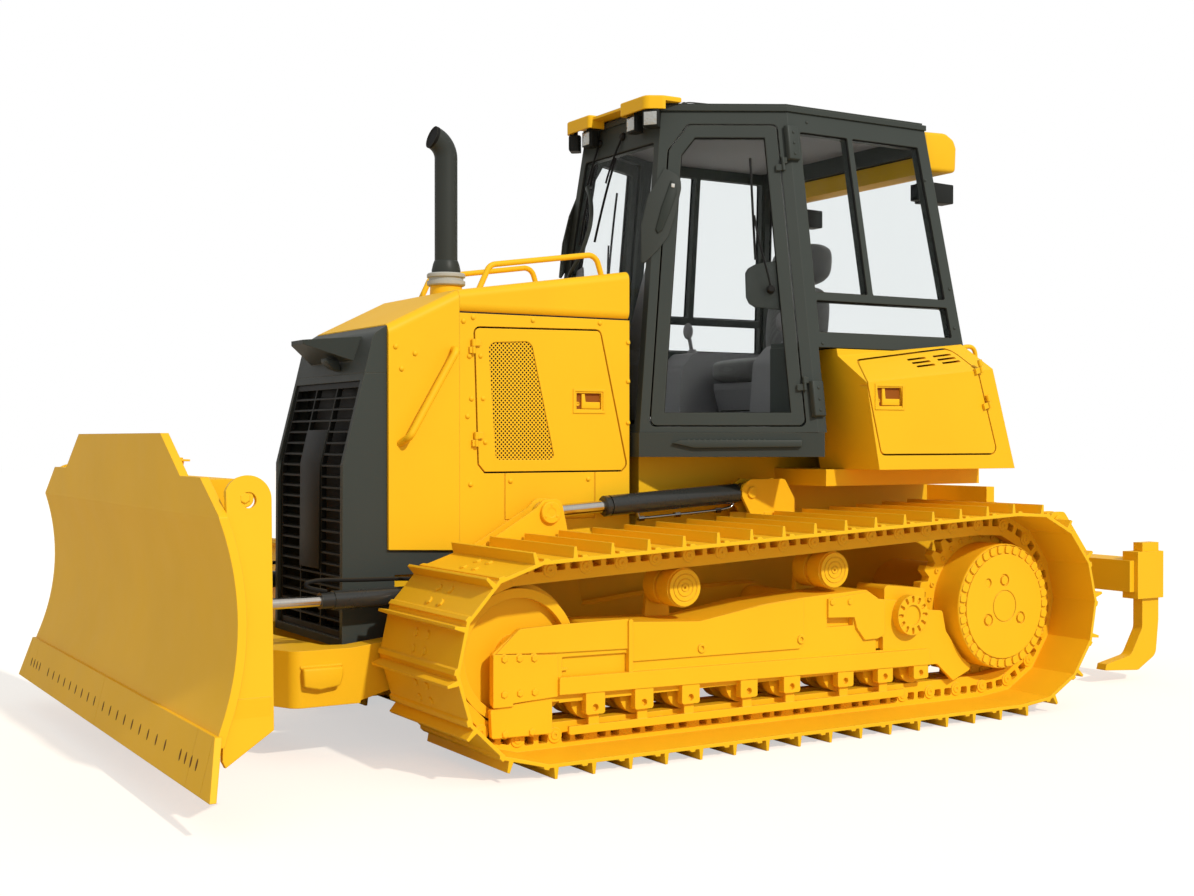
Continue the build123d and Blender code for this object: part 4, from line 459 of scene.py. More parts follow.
for side, hand in SIDES:
    strip = cut_flat(1, -1.374, 0.918, rectangle((side * 0.428, 1.945), (side * 0.438, 1.985)), 0)
    settle(strip, f"hood_strip_{hand}", grille_black)
    liner = cut_flat(0, side * 0.375, side * 0.004, rectangle((-1.370, 1.110), (-0.470, 1.960)), 0)
    settle(liner, f"hood_liner_{hand}", grille_black)
dress(punched_steel("punched_yellow"), "engine_door_left", "engine_door_right")
button = turned(((0, -0.25), (1, -0.25), (1, 0.15), (0.85, 0.45), (0.5, 0.65), (0, 0.72)), 12)
HOOD_FACE = 0.455
HOOD_BUTTONS = ((-1.358, 1.932), (-1.308, 1.951), (-0.993, 1.950), (-0.623, 1.951), (-1.328, 1.771),
                (-1.317, 1.575), (-1.337, 1.493), (-1.306, 1.373), (-1.322, 1.178), (-1.113, 1.191),
                (-0.689, 1.195), (-0.461, 1.862), (-0.461, 1.671), (-0.461, 1.468), (-1.696, 1.804),
                (-1.601, 1.776), (-1.667, 1.705))
DOOR_BUTTONS = ((-1.270, 1.773), (-1.257, 1.576), (-1.246, 1.373))
seats = [((side * HOOD_FACE, y, z), (side, 0, 0)) for side in (-1, 1) for y, z in HOOD_BUTTONS]
fixed_at(button, 0.0125, seats, "hood_buttons", machine_yellow)
cup_shade = enamel("cup_shade", (0.30, 0.085, 0.006), gloss=0.5, edge_highlight=0.0)


def latch(corners, x, side, tag, body):
    """Raised rim, paddle and key barrel of a door's latch, in its pressed cup."""
    (y0, z0), (y1, z1) = corners
    rim = cut_flat(0, side * x, side * 0.004, rectangle(*corners), 0)
    alone(rim)
    bpy.ops.object.mode_set(mode="EDIT")
    pick(lambda middle, normal: abs(normal.x) > 0.9)
    bpy.ops.mesh.inset(thickness=0.012)
    bpy.ops.mesh.bridge_edge_loops()
    bpy.ops.object.mode_set(mode="OBJECT")
    settle(rim, f"latch_rim_{tag}", machine_yellow, body)
    well = side * (x - 0.0155)
    cup = cut_flat(0, well, side * 0.0008, rectangle((y0 + 0.014, z0 + 0.014), (y1 - 0.014, z1 - 0.014)), 0)
    settle(cup, f"latch_cup_{tag}", cup_shade, body)
    low, waist, high = z0 + 0.022, z0 + 0.055, z1 - 0.022
    grip = ((y0 + 0.052, low), (y1 - 0.024, low), (y1 - 0.024, waist), (y0 + 0.075, waist),
            (y0 + 0.070, high), (y0 + 0.052, high))
    settle(cut_flat(0, well, side * 0.011, grip), f"latch_paddle_{tag}", machine_yellow, body)
    key = ((well, y0 + 0.032, z0 + 0.045), (side, 0, 0))
    fixed_at(socket, 0.011, [key], f"latch_key_{tag}", machine_yellow, body)


for side, hand in SIDES:
    door = f"engine_door_{hand}"
    seats = [((side * HOOD_FACE, y, z), (side, 0, 0)) for y, z in DOOR_BUTTONS]
    fixed_at(button, 0.0115, seats, f"door_buttons_{hand}", machine_yellow, door)
    latch(((-0.774, 1.512), (-0.594, 1.629)), HOOD_FACE, side, f"engine_{hand}", door)

# ---------------------------------------------------------------- exhaust stack
# Steel pipe in heat-proof charcoal, clamped over the silencer's outlet by a cast alloy collar. Its mouth
# looks ahead and a little upwards, and is sooted inside.

stack_grey = enamel("stack_grey", (0.040, 0.045, 0.041), gloss=0.36, mottle=0.12, edge_highlight=0.2, dust=0.02)
dress(stack_grey, "exhaust_stack")
collar_alloy = enamel("collar_alloy", (0.46, 0.46, 0.42), edge_highlight=0.2, mottle=0.10)
soot = enamel("soot_black", (0.006, 0.006, 0.006), gloss=0.6)
STACK = Matrix.Translation((0, -1.2285, 0))
FLARE = ((0.0562, 2.198), (0.070, 2.198), (0.071, 2.215), (0.064, 2.245), (0.0572, 2.262), (0.0562, 2.262))
COLLAR = ((0.0742, 2.137), (0.088, 2.137), (0.094, 2.143), (0.094, 2.160), (0.085, 2.163), (0.085, 2.176),
          (0.094, 2.179), (0.094, 2.193), (0.088, 2.199), (0.0742, 2.199))
NECK = ((0.0625, 2.085), (0.080, 2.085), (0.078, 2.137), (0.0625, 2.137))
MOUTH = ((0, 0.0006), (0.049, 0.0006), (0.052, 0.004), (0.0565, 0.004), (0.0565, -0.012), (0, -0.012))
settle(turned(FLARE, 48, STACK), "stack_flare", stack_grey)
settle(turned(COLLAR, 48, STACK), "stack_collar", collar_alloy)
settle(turned(NECK, 48, STACK), "stack_neck", machine_yellow)
MOUTH_TILT = math.radians(72)
mouth_aim = aimed((0, -math.sin(MOUTH_TILT), math.cos(MOUTH_TILT)), (0, -1.3011, 2.8599))
settle(turned(MOUTH, 40, mouth_aim), "stack_mouth", soot)

# ---------------------------------------------------------------- cab glazing
# Flat toughened panes, faintly smoked, bonded into the cab's frame and its doors, with a black rubber
# bead round the outside of each. A rubber seal fills the gap between each door and the front post.


def pane_glass():
    """Clear glass with a faint smoke, very slightly uneven in its polish."""
    material, tree, shader = plain("smoked_glass")
    shader["Base Color"].default_value = (0.90, 0.92, 0.92, 1)
    shader["Transmission Weight"].default_value = 1.0
    shader["IOR"].default_value = 1.08
    film = node(tree, "TexNoise", Vector=node(tree, "TexCoord").outputs["Object"], Scale=3.0, Detail=2.0)
    feed(tree, shader["Roughness"], value(tree, "MULTIPLY", film.outputs["Fac"], 0.03))
    return material


dress(pane_glass(), "cab_glass", "door_glass_left", "door_glass_right")
seal_rubber = enamel("seal_rubber", (0.010, 0.010, 0.010), gloss=0.62, mottle=0.15, edge_highlight=0.0, dust=0.2)
CAB_CENTRE = Vector((0, 0.6, 2.2))


def bead_round(name, tag, body):
    """Rubber bead along the outer rim of every pane of a CAD piece."""
    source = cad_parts[name]
    copy = source.copy()
    copy.data = source.data.copy()
    copy.parent = None
    bpy.context.collection.objects.link(copy)
    alone(copy)
    bpy.ops.object.mode_set(mode="EDIT")
    bpy.ops.mesh.select_all(action="SELECT")
    bpy.ops.mesh.remove_doubles(threshold=0.00005)
    bpy.ops.mesh.select_mode(type="FACE")
    bpy.ops.mesh.select_all(action="DESELECT")
    shape = bmesh.from_edit_mesh(copy.data)
    for face in shape.faces:
        middle = face.calc_center_median()
        if face.calc_area() > 0.02 and face.normal.dot(middle - CAB_CENTRE) > 0:
            face.select_set(True)
    bmesh.update_edit_mesh(copy.data)
    bpy.ops.mesh.faces_select_linked_flat(sharpness=math.radians(1))
    bpy.ops.mesh.region_to_loop()
    bpy.ops.mesh.duplicate()
    bpy.ops.mesh.separate(type="SELECTED")
    bpy.ops.object.mode_set(mode="OBJECT")
    rims = [piece for piece in bpy.context.selected_objects if piece is not copy]
    bpy.data.objects.remove(copy)
    alone(rims[0])
    bpy.ops.object.convert(target="CURVE")
    rim = bpy.context.object
    rim.data.bevel_depth, rim.data.bevel_resolution = 0.0055, 1
    bpy.ops.object.convert(target="MESH")
    settle(bpy.context.object, f"glass_bead_{tag}", seal_rubber, body, 60)


def mirrored(side, point):
    """A point or a way measured on the left, taken to the side that is asked for."""
    return Vector((side * point[0], point[1], point[2]))


def on_side(side, points):
    """Several points, taken to one side."""
    return [mirrored(side, point) for point in points]


SEAL_LOW, SEAL_HIGH = Vector((0.465, -0.338, 1.500)), Vector((0.355, -0.147, 2.930))
DOOR_WAY = Vector((0.857, -0.498, 0.132)).normalized()
half_seal = (SEAL_HIGH - SEAL_LOW).normalized().cross(DOOR_WAY) * 0.021
seal_corners = (SEAL_LOW - half_seal, SEAL_LOW + half_seal, SEAL_HIGH + half_seal, SEAL_HIGH - half_seal)
for side, hand in SIDES:
    post_seal = cut_sheet(on_side(side, seal_corners), -mirrored(side, DOOR_WAY) * 0.004, 0)
    settle(post_seal, f"post_seal_{hand}", seal_rubber)
bead_round("cab_glass", "cab", "chassis")
for _, hand in SIDES:
    bead_round(f"door_glass_{hand}", f"door_{hand}", f"cab_door_{hand}")

# ---------------------------------------------------------------- cab doors
# Each door carries a moulded grab panel on its leading edge, with a long finger pull and a bright catch.
# Its two strap hinges stand under pressed boxes, each held by three screws.

GRAB_PANEL = ((0.413, -0.220, 2.745), (0.449, -0.168, 2.711), (0.461, -0.152, 2.680), (0.468, -0.154, 2.640),
              (0.468, -0.166, 2.592), (0.468, -0.191, 2.498), (0.463, -0.228, 2.396), (0.445, -0.276, 2.329),
              (0.414, -0.335, 2.262), (0.405, -0.352, 2.262), (0.386, -0.342, 2.447), (0.385, -0.300, 2.600))
FINGER_PULL = ((0.438, -0.196, 2.680), (0.452, -0.175, 2.665), (0.459, -0.176, 2.610), (0.452, -0.212, 2.515),
               (0.443, -0.251, 2.426), (0.434, -0.272, 2.409), (0.426, -0.280, 2.430), (0.429, -0.245, 2.549))
CATCH = ((0.440, -0.196, 2.662), (0.449, -0.181, 2.660), (0.450, -0.184, 2.640), (0.442, -0.198, 2.643))
moulded_grey = enamel("moulded_grey", (0.048, 0.054, 0.049), gloss=0.50, mottle=0.08, edge_highlight=0.1, dust=0.05)
pull_grey = enamel("pull_grey", (0.030, 0.036, 0.031), gloss=0.46, mottle=0.08, edge_highlight=0.1, dust=0.02)
catch_alloy = enamel("catch_alloy", (0.62, 0.62, 0.60), gloss=0.35, edge_highlight=0.1)


def hinge_box(point, facing, size, name):
    """Pressed cover over a hinge, drawn in towards its face, with its rims rounded."""
    cover = started(bpy.ops.mesh.primitive_cube_add, size=1.0)
    bpy.ops.object.mode_set(mode="EDIT")
    pick(lambda middle, normal: normal.z > 0.9)
    bpy.ops.transform.resize(value=(0.9, 0.94, 1.0))
    bpy.ops.object.mode_set(mode="OBJECT")
    cover.data.transform(Matrix.Diagonal((*size, 1)))
    rim = cover.modifiers.new("drawn_rim", "BEVEL")
    rim.width, rim.segments = 0.006, 3
    bpy.ops.object.modifier_apply(modifier=rim.name)
    ahead = Vector(facing).normalized()
    across = Vector((0, 0, 1)).cross(ahead).normalized()
    turn = Matrix((across, ahead.cross(across), ahead)).transposed().to_4x4()
    cover.data.transform(Matrix.Translation(Vector(point)) @ turn)
    return settle(cover, name, machine_charcoal)


DOOR_FITTINGS = (       # outline, how far off the door it starts, thickness, ease and its steps, finish
    ("grab_panel", GRAB_PANEL, 0.001, 0.010, 0.004, 3, moulded_grey, "grey_paint"),
    ("finger_pull", FINGER_PULL, 0.010, 0.007, 0.004, 3, pull_grey, "grey_paint"),
    ("door_catch", CATCH, 0.016, 0.006, 0.002, 2, catch_alloy, "chrome"))
HINGE_Y, SCREW_STEP = 0.345, 0.055
for side, hand in SIDES:
    way = mirrored(side, DOOR_WAY)
    for name, outline, start, thick, ease, steps, finish, slot in DOOR_FITTINGS:
        corners = [point + way * start for point in on_side(side, outline)]
        fitting = cut_sheet(corners, way * thick, ease, steps)
        settle(fitting, f"{name}_{hand}", finish, f"cab_door_{hand}")
    for tag, z, deep in (("upper", 2.875, 0.030), ("lower", 1.585, 0.034)):
        point, facing = skin_of("cab_frame", (side * OUTSIDE, HINGE_Y, z), (-side, 0, 0))
        cover = hinge_box(point + facing * 0.010, facing, (0.075, 0.185, deep), f"hinge_box_{tag}_{hand}")
        screws = []
        for step in (-SCREW_STEP, 0.0, SCREW_STEP):
            spot = Vector((side * OUTSIDE, HINGE_Y, z + step))
            found, place, skin, _ = cover.ray_cast(spot, Vector((-side, 0, 0)))
            if found:
                screws.append((place, skin))
        fixed_at(button, 0.008, screws, f"hinge_screws_{tag}_{hand}", machine_charcoal)

# ---------------------------------------------------------------- wipers
# Pantograph wipers of black-painted steel with rubber blades: two hang from the header over the
# windscreen, and one stands on a motor pad in each door.


def bent_tube(points, radius, turns=3):
    """Tube or rod bent smoothly along points, closed at its ends."""
    curve = started(bpy.ops.curve.primitive_nurbs_path_add).data
    curve.splines.clear()
    run = curve.splines.new("NURBS")
    run.points.add(len(points) - 1)
    for spot, point in zip(run.points, points):
        spot.co = (*point, 1)
    run.order_u, run.use_endpoint_u = 3, True
    curve.resolution_u, curve.bevel_depth, curve.bevel_resolution = 6, radius, turns
    curve.use_fill_caps = True
    bpy.ops.object.convert(target="MESH")
    return bpy.context.object


wiper_black = enamel("wiper_black", (0.008, 0.008, 0.008), edge_highlight=0.1, dust=0.05)
SCREEN_WAY = Vector((0, -0.992, 0.129))
HUB = ((0, 0), (0.022, 0), (0.022, 0.018), (0.014, 0.028), (0, 0.028))


def wiper(arm, blade, way, name, body):
    """One wiper: its arm, over the middle of a rubber blade, and the hub that the arm turns on."""
    arm_lifts = (0.018, *[0.030] * (len(arm) - 1))
    blade_lifts = (0.008, *[0.014] * (len(blade) - 2), 0.008)
    for tag, spots, lifts, radius in (("arm", arm, arm_lifts, 0.0055), ("blade", blade, blade_lifts, 0.0065)):
        rod = bent_tube([Vector(spot) + way * lift for spot, lift in zip(spots, lifts)], radius)
        settle(rod, f"{name}_{tag}", wiper_black, body, 60)
    settle(turned(HUB, 20, aimed(way, arm[0])), f"{name}_hub", wiper_black, body)


SCREEN_WIPERS = (
    ("left", ((0.031, -0.210, 2.965), (-0.020, -0.225, 2.860), (-0.066, -0.240, 2.730)),
     ((-0.010, -0.233, 2.860), (-0.080, -0.247, 2.700), (-0.153, -0.278, 2.432))),
    ("right", ((-0.200, -0.210, 2.965), (-0.225, -0.225, 2.860), (-0.262, -0.240, 2.730)),
     ((-0.225, -0.233, 2.850), (-0.265, -0.250, 2.690), (-0.310, -0.278, 2.432))))
for hand, arm, blade in SCREEN_WIPERS:
    wiper(arm, blade, SCREEN_WAY, f"screen_wiper_{hand}", "chassis")
DOOR_ARM = ((0.748, 0.192, 2.129), (0.728, 0.183, 2.219), (0.688, 0.154, 2.376), (0.666, 0.148, 2.497))
DOOR_BLADE = ((0.625, 0.157, 2.795), (0.660, 0.145, 2.521), (0.693, 0.138, 2.279))
MOTOR_PAD = ((0.689, 0.124, 2.255), (0.700, 0.142, 2.266), (0.762, 0.247, 2.285), (0.787, 0.240, 2.034),
             (0.720, 0.122, 2.046), (0.703, 0.095, 2.066), (0.691, 0.086, 2.099), (0.676, 0.092, 2.219),
             (0.680, 0.105, 2.243))
for side, hand in SIDES:
    way = mirrored(side, DOOR_WAY)
    pad = cut_sheet([point - way * 0.040 for point in on_side(side, MOTOR_PAD)], way * 0.018, 0.006, 3)
    settle(pad, f"motor_pad_{hand}", moulded_grey, f"cab_door_{hand}")
    wiper(on_side(side, DOOR_ARM), on_side(side, DOOR_BLADE), way, f"door_wiper_{hand}", f"cab_door_{hand}")

# ---------------------------------------------------------------- roof fittings
# The roof's yellow eyebrows shade square halogen lamps in black moulded shells. A short whip aerial
# leans back from the left one, and a curved grab bar stands outside the far pillar.


def lamp_lens():
    """Moulded clear lens over a bright reflector, with a fine cellular pattern."""
    material = enamel("lamp_lens", (0.56, 0.57, 0.55), gloss=0.06, mottle=0.15, edge_highlight=0.0, dust=0.05, coat=1.0)
    tree = material.node_tree
    shader = tree.nodes["Principled BSDF"].inputs
    cells = node(tree, "TexVoronoi", Vector=node(tree, "TexCoord").outputs["Object"], Scale=70.0)
    bump = node(tree, "Bump", Strength=0.7, Distance=0.004, Height=cells.outputs["Distance"])
    feed(tree, shader["Normal"], bump.outputs["Normal"])
    shader["Metallic"].default_value = 0.55
    return material


shell_black = enamel("shell_black", (0.016, 0.018, 0.017), gloss=0.45, edge_highlight=0.15)
dress(shell_black, "work_lamps")
clear_lens = lamp_lens()
FAIRING = ((1.290, 3.046), (1.455, 3.052), (1.515, 3.020), (1.534, 2.975), (1.528, 2.842), (1.312, 2.834))
settle(cut_flat(0, -0.668, 1.336, FAIRING, 0.022, 4), "rear_fairing_shell", machine_yellow)
for side, hand in SIDES:
    can = hinge_box((side * 0.560, 1.468, 2.735), (0, 1, 0), (0.104, 0.112, 0.200), f"rear_lamp_can_{hand}")
    can.data.materials.clear()
    can.data.materials.append(shell_black)
LAMPS = ((0.380, -0.2695, 2.991, 38), (0.222, -0.2665, 2.991, 0), (-0.222, -0.2665, 2.991, 0),
         (-0.380, -0.2695, 2.991, -38), (0.560, 1.5390, 2.735, 180), (-0.560, 1.5390, 2.735, 180))
SQUARE = ((-1, -1), (1, -1), (1, 1), (-1, 1))
lenses, bezels = [], []
for x, y, z, turn in LAMPS:
    ahead = Vector((math.sin(math.radians(turn)), -math.cos(math.radians(turn)), 0))
    across = Vector((-ahead.y, ahead.x, 0))
    spot = Vector((x, y, z)) + ahead * 0.0285
    for half, deep, group in ((0.041, 0.003, bezels), (0.034, 0.0055, lenses)):
        corners = [spot + across * (half * a) + Vector((0, 0, half * b * 0.97)) for a, b in SQUARE]
        group.append(cut_sheet(corners, ahead * deep, 0.002, 2))
settle(joined(bezels), "lamp_bezels", shell_black)
settle(joined(lenses), "lamp_lenses", clear_lens)

AERIAL = ((0.400, -0.090, 3.084), (0.400, -0.084, 3.094), (0.400, 0.00, 3.099), (0.400, 0.12, 3.102))
AERIAL_FOOT = ((0, 0), (0.016, 0), (0.014, 0.008), (0.006, 0.013), (0, 0.013))
GRAB_BAR = ((-0.262, -0.245, 2.745), (-0.235, -0.290, 2.735), (-0.150, -0.318, 2.690),
            (-0.115, -0.325, 2.600), (-0.115, -0.335, 2.500), (-0.180, -0.360, 2.350),
            (-0.275, -0.372, 2.268), (-0.330, -0.345, 2.235))
settle(bent_tube(AERIAL, 0.003), "whip_aerial", wiper_black, "chassis", 60)
foot = turned(AERIAL_FOOT, 20, Matrix.Translation((0.400, -0.090, 3.080)))
settle(foot, "aerial_foot", wiper_black)
settle(bent_tube(GRAB_BAR, 0.011, 4), "pillar_grab_bar", machine_charcoal, "chassis", 60)
CAB_BUTTONS = ((0.459, 2.997), (1.235, 2.766), (1.326, 2.184), (1.330, 1.974), (0.421, 1.864))
seats = []
for side in (-1, 1):
    for y, z in CAB_BUTTONS:
        seats.append(skin_of("cab_frame", (side * OUTSIDE, y, z), (-side, 0, 0)))
fixed_at(button, 0.009, seats, "cab_buttons", machine_charcoal)

# ---------------------------------------------------------------- door step
# A toe step of folded plate is welded to the cab's base under each door. A row of round grip studs stands
# along its tread.

STEP_WAY = Vector((0.872, -0.489, 0)).normalized()
STEP_FACE = ((0.585, -0.288, 1.368), (0.607, -0.250, 1.382), (0.897, 0.267, 1.382), (0.897, 0.267, 1.350),
             (0.640, -0.192, 1.344))
STUDS, FIRST_STUD, STUD_STEP = 15, 0.06, 0.045      # along the tread, as parts of its length
for side, hand in SIDES:
    way = mirrored(side, STEP_WAY)
    step = cut_sheet(on_side(side, STEP_FACE), way * 0.022, 0.003)
    settle(step, f"toe_step_{hand}", machine_charcoal)
    studs = []
    for count in range(STUDS):
        spot = Vector(STEP_FACE[1]).lerp(Vector(STEP_FACE[2]), FIRST_STUD + STUD_STEP * count)
        studs.append((mirrored(side, spot) + way * 0.013, (0, 0, 1)))
    fixed_at(button, 0.0065, studs, f"step_studs_{hand}", machine_charcoal)

# ---------------------------------------------------------------- operator's station
# Grey moulded consoles and dash. The seat has a crowned cushion, a back and a separate headrest in
# woven cloth over foam, and stands on a suspension inside a pleated gaiter.

cab_plastic = enamel("cab_plastic", (0.235, 0.232, 0.238), gloss=0.58, edge_highlight=0.1, dust=0.05, peel=0.12)
dress(cab_plastic, "cab_interior")


def woven_cloth(name, colour):
    """Plain weave: threads over and under in the piece's own coordinates, with a soft sheen."""
    material, tree, shader = plain(name)
    place = node(tree, "TexCoord").outputs["Object"]
    threads = []
    for turn in ((0, 0, 0), (0, 0, math.pi / 2)):
        aim = node(tree, "Mapping", Vector=place, Rotation=turn).outputs["Vector"]
        wave = node(tree, "TexWave", Vector=aim, Scale=90.0, Distortion=0.6, Detail=1.0)
        threads.append(wave.outputs["Fac"])
    weave = value(tree, "MULTIPLY", *threads)
    fibre = node(tree, "TexNoise", Vector=place, Scale=25.0, Detail=4.0).outputs["Fac"]
    tone = value(tree, "MULTIPLY_ADD", weave, 0.35, value(tree, "MULTIPLY", fibre, 0.5))
    dark, pale = [(*[part * shade for part in colour], 1) for shade in (0.80, 1.30)]
    feed(tree, shader["Base Color"], mixed(tree, tone, dark, pale))
    bump = node(tree, "Bump", Strength=0.35, Distance=0.002, Height=weave)
    feed(tree, shader["Normal"], bump.outputs["Normal"])
    shader["Roughness"].default_value = 0.85
    shader["Sheen Weight"].default_value = 0.3
    return material


seat_cloth = woven_cloth("seat_cloth", (0.120, 0.120, 0.115))


def cushion(low, high, crown, lean, name, node_name):
    """Foam pad in a fitted cover: a box rounded off, crowned on all sides and drawn in along its seams."""
    pad = started(bpy.ops.mesh.primitive_cube_add)
    bpy.ops.object.mode_set(mode="EDIT")
    bpy.ops.mesh.select_all(action="SELECT")
    bpy.ops.mesh.subdivide(number_cuts=13)
    bpy.ops.object.mode_set(mode="OBJECT")
    middle = (Vector(low) + Vector(high)) / 2
    half = (Vector(high) - Vector(low)) / 2
    for vertex in pad.data.vertices:
        u = vertex.co.copy()
        shaped = u / sum(abs(part) ** 5 for part in u) ** 0.2
        for axis in range(3):
            rest = [abs(u[k]) for k in range(3) if k != axis]
            shaped[axis] *= 1.0 + crown * (1 - rest[0] ** 2) * (1 - rest[1] ** 2) - crown * 0.55
        groove = max(0.0, 1 - abs(abs(u.x) - 0.62) / 0.07)
        shaped *= 1 - 0.05 * groove * (abs(u.z) < 0.97 or half.z < half.y)
        spot = Vector((shaped.x * half.x, shaped.y * half.y, shaped.z * half.z))
        spot.y += lean * (shaped.z + 1) * half.z
        vertex.co = middle + spot
    smooth = pad.modifiers.new("soft_cover", "SUBSURF")
    smooth.levels = smooth.render_levels = 1
    bpy.ops.object.modifier_apply(modifier=smooth.name)
    settle(pad, name, seat_cloth, "chassis", 80)
    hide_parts(node_name)


cushion((-0.250, 0.480, 1.702), (0.250, 0.975, 1.835), 0.10, 0.0, "seat_pad", "seat_cushion")
cushion((-0.238, 0.872, 1.845), (0.238, 1.000, 2.235), 0.12, 0.10, "back_pad", "seat_back")
cushion((-0.236, 0.922, 2.250), (0.236, 1.030, 2.478), 0.14, 0.06, "head_pad", "seat_back")
HEADLINER = ((-0.620, 1.180), (0.620, 1.180), (0.620, 0.420), (0.375, -0.080), (-0.375, -0.080),
             (-0.620, 0.420))
settle(cut_flat(2, 2.988, 0.008, HEADLINER, 0.002), "headliner", cab_plastic)
CORNER_PAD = ((0.220, -0.362, 1.480), (0.415, -0.362, 1.480), (0.415, -0.292, 2.040), (0.400, -0.258, 2.300),
              (0.330, -0.256, 2.320), (0.270, -0.282, 2.120), (0.220, -0.306, 1.930))
for side, hand in SIDES:
    corner = cut_sheet(on_side(side, CORNER_PAD), (0, 0.012, 0), 0.004)
    settle(corner, f"corner_pad_{hand}", cab_plastic)

GAITER_FOOT, GAITER_TOP, PLEATS, PLEAT = 1.46, 1.698, 7, 0.034
pleats = []
for count in range(PLEATS):
    height = GAITER_FOOT + PLEAT * count
    pleats += [(0.175, height), (0.196, height + PLEAT / 2)]
gaiter = turned([(0.10, GAITER_FOOT), *pleats, (0.175, GAITER_TOP), (0.10, GAITER_TOP)], 4)
gaiter.data.transform(Matrix.Rotation(math.pi / 4, 4, "Z"))
gaiter.data.transform(Matrix.Translation((0, 0.755, 0)) @ Matrix.Diagonal((1.45, 1.35, 1, 1)))
settle(gaiter, "seat_gaiter", seal_rubber, "chassis", 20)

# ---------------------------------------------------------------- rear boxes
# Lidded boxes of yellow sheet beside the cab. The left one holds tools, the right one the battery. Each
# lid has a paddle latch, and a grab handle is welded on behind.

BOX_HANDLE = ((0.86, 1.375, 1.872), (0.86, 1.43, 1.885), (0.86, 1.470, 1.870), (0.86, 1.482, 1.830),
              (0.86, 1.474, 1.790), (0.86, 1.440, 1.760))
for side, hand in SIDES:
    latch(((0.5790, 1.532), (0.7700, 1.660)), 1.080, side, f"box_{hand}", f"box_door_{hand}")
    handle = bent_tube(on_side(side, BOX_HANDLE), 0.012, 4)
    settle(handle, f"box_handle_{hand}", machine_yellow, angle=60)

# ---------------------------------------------------------------- blade frame fittings
# The lift cylinders' pins are kept by round caps with three bolts. A steel pipe carries oil along each
# barrel, held by three clips, and a hose over each of the angling barrels.

barrel_black = enamel("barrel_black", (0.026, 0.028, 0.027), gloss=0.22, edge_highlight=0.4, dust=0.03, coat=0.6)
dress(barrel_black, *[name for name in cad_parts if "barrel" in name and "ripper" not in name])


def ground_rod(name, colour):
    """Hard chrome on a ground rod: bright, with the faint rings that grinding leaves."""
    material, tree, shader = plain(name)
    place = node(tree, "TexCoord").outputs["Object"]
    aim = node(tree, "Mapping", Vector=place, Scale=(2.0, 160.0, 2.0)).outputs["Vector"]
    rings = node(tree, "TexNoise", Vector=aim, Scale=3.0, Detail=3.0).outputs["Fac"]
    bright = (*[min(1, part * 1.2) for part in colour], 1)
    feed(tree, shader["Roughness"], value(tree, "MULTIPLY_ADD", rings, 0.16, 0.10))
    feed(tree, shader["Base Color"], mixed(tree, rings, (*colour, 1), bright))
    shader["Metallic"].default_value = 1.0
    return material


rod_chrome = ground_rod("rod_chrome", (0.62, 0.58, 0.52))
dress(rod_chrome, *[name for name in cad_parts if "_rod" in name])
pipe_steel = ground_rod("pipe_steel", (0.30, 0.30, 0.29))
cap = turned(((0, -0.2), (1, -0.2), (1, 0.10), (0.93, 0.18), (0.45, 0.18), (0.40, 0.14), (0, 0.14)), 36)
caps, cap_bolts = [], []
for side in (-1, 1):
    middle = Vector((side * 0.6055, -0.9805, 1.046))
    caps.append((middle, (side, 0, 0)))
    for turn in (90, 210, 330):
        aside = Vector((0, math.cos(math.radians(turn)), math.sin(math.radians(turn)))) * 0.036
        cap_bolts.append((middle + Vector((side * 0.008, 0, 0)) + aside, (side, 0, 0)))
fixed_at(cap, 0.052, caps, "lift_pin_caps", machine_yellow, "c_frame")
fixed_at(hexagon, 0.007, cap_bolts, "lift_cap_bolts", machine_yellow, "c_frame")

LIFT_FOOT, LIFT_EYE = Vector((0.548, 0.1875, 1.118)), Vector((0.548, -0.9805, 1.046))
LIFT_PIPE = ((0.80, 0.046, 0), (0.80, 0.074, 0), (0.76, 0.077, 0), (0.60, 0.077, 0.004),
             (0.30, 0.077, 0.004), (0.14, 0.074, 0), (0.10, 0.060, 0), (0.10, 0.044, 0))
CLIPS = (0.78, 0.52, 0.22)
GLAND = ((0.0245, 0), (0.047, 0), (0.0505, 0.005), (0.0505, 0.028), (0.044, 0.034), (0.0245, 0.034))
lift_run = (LIFT_EYE - LIFT_FOOT).normalized()
lift_down = Vector((0, -lift_run.z, lift_run.y))
clip = turned(((0.0080, 0), (0.0145, 0), (0.0145, 0.032), (0.0080, 0.032)), 6)


def by_barrel(part, drop):
    """A point beside the left lift cylinder, at a part of its barrel and a drop below its line."""
    return LIFT_FOOT + lift_run * 0.82 * part + lift_down * drop


for side, hand in SIDES:
    barrel = f"lift_barrel_{hand}"
    route = [by_barrel(part, drop) + Vector((out, 0, 0)) for part, drop, out in LIFT_PIPE]
    settle(bent_tube(on_side(side, route), 0.0085), f"lift_pipe_{hand}", pipe_steel, barrel, 60)
    clips = [(mirrored(side, by_barrel(part, 0.077)) - lift_run * 0.016, lift_run) for part in CLIPS]
    fixed_at(clip, 1.0, clips, f"lift_pipe_clips_{hand}", pipe_steel, barrel)
    gland = turned(GLAND, 36, aimed(lift_run, mirrored(side, LIFT_FOOT + lift_run * 0.8175)))
    settle(gland, f"lift_gland_{hand}", barrel_black, barrel)
bpy.data.objects.remove(clip)

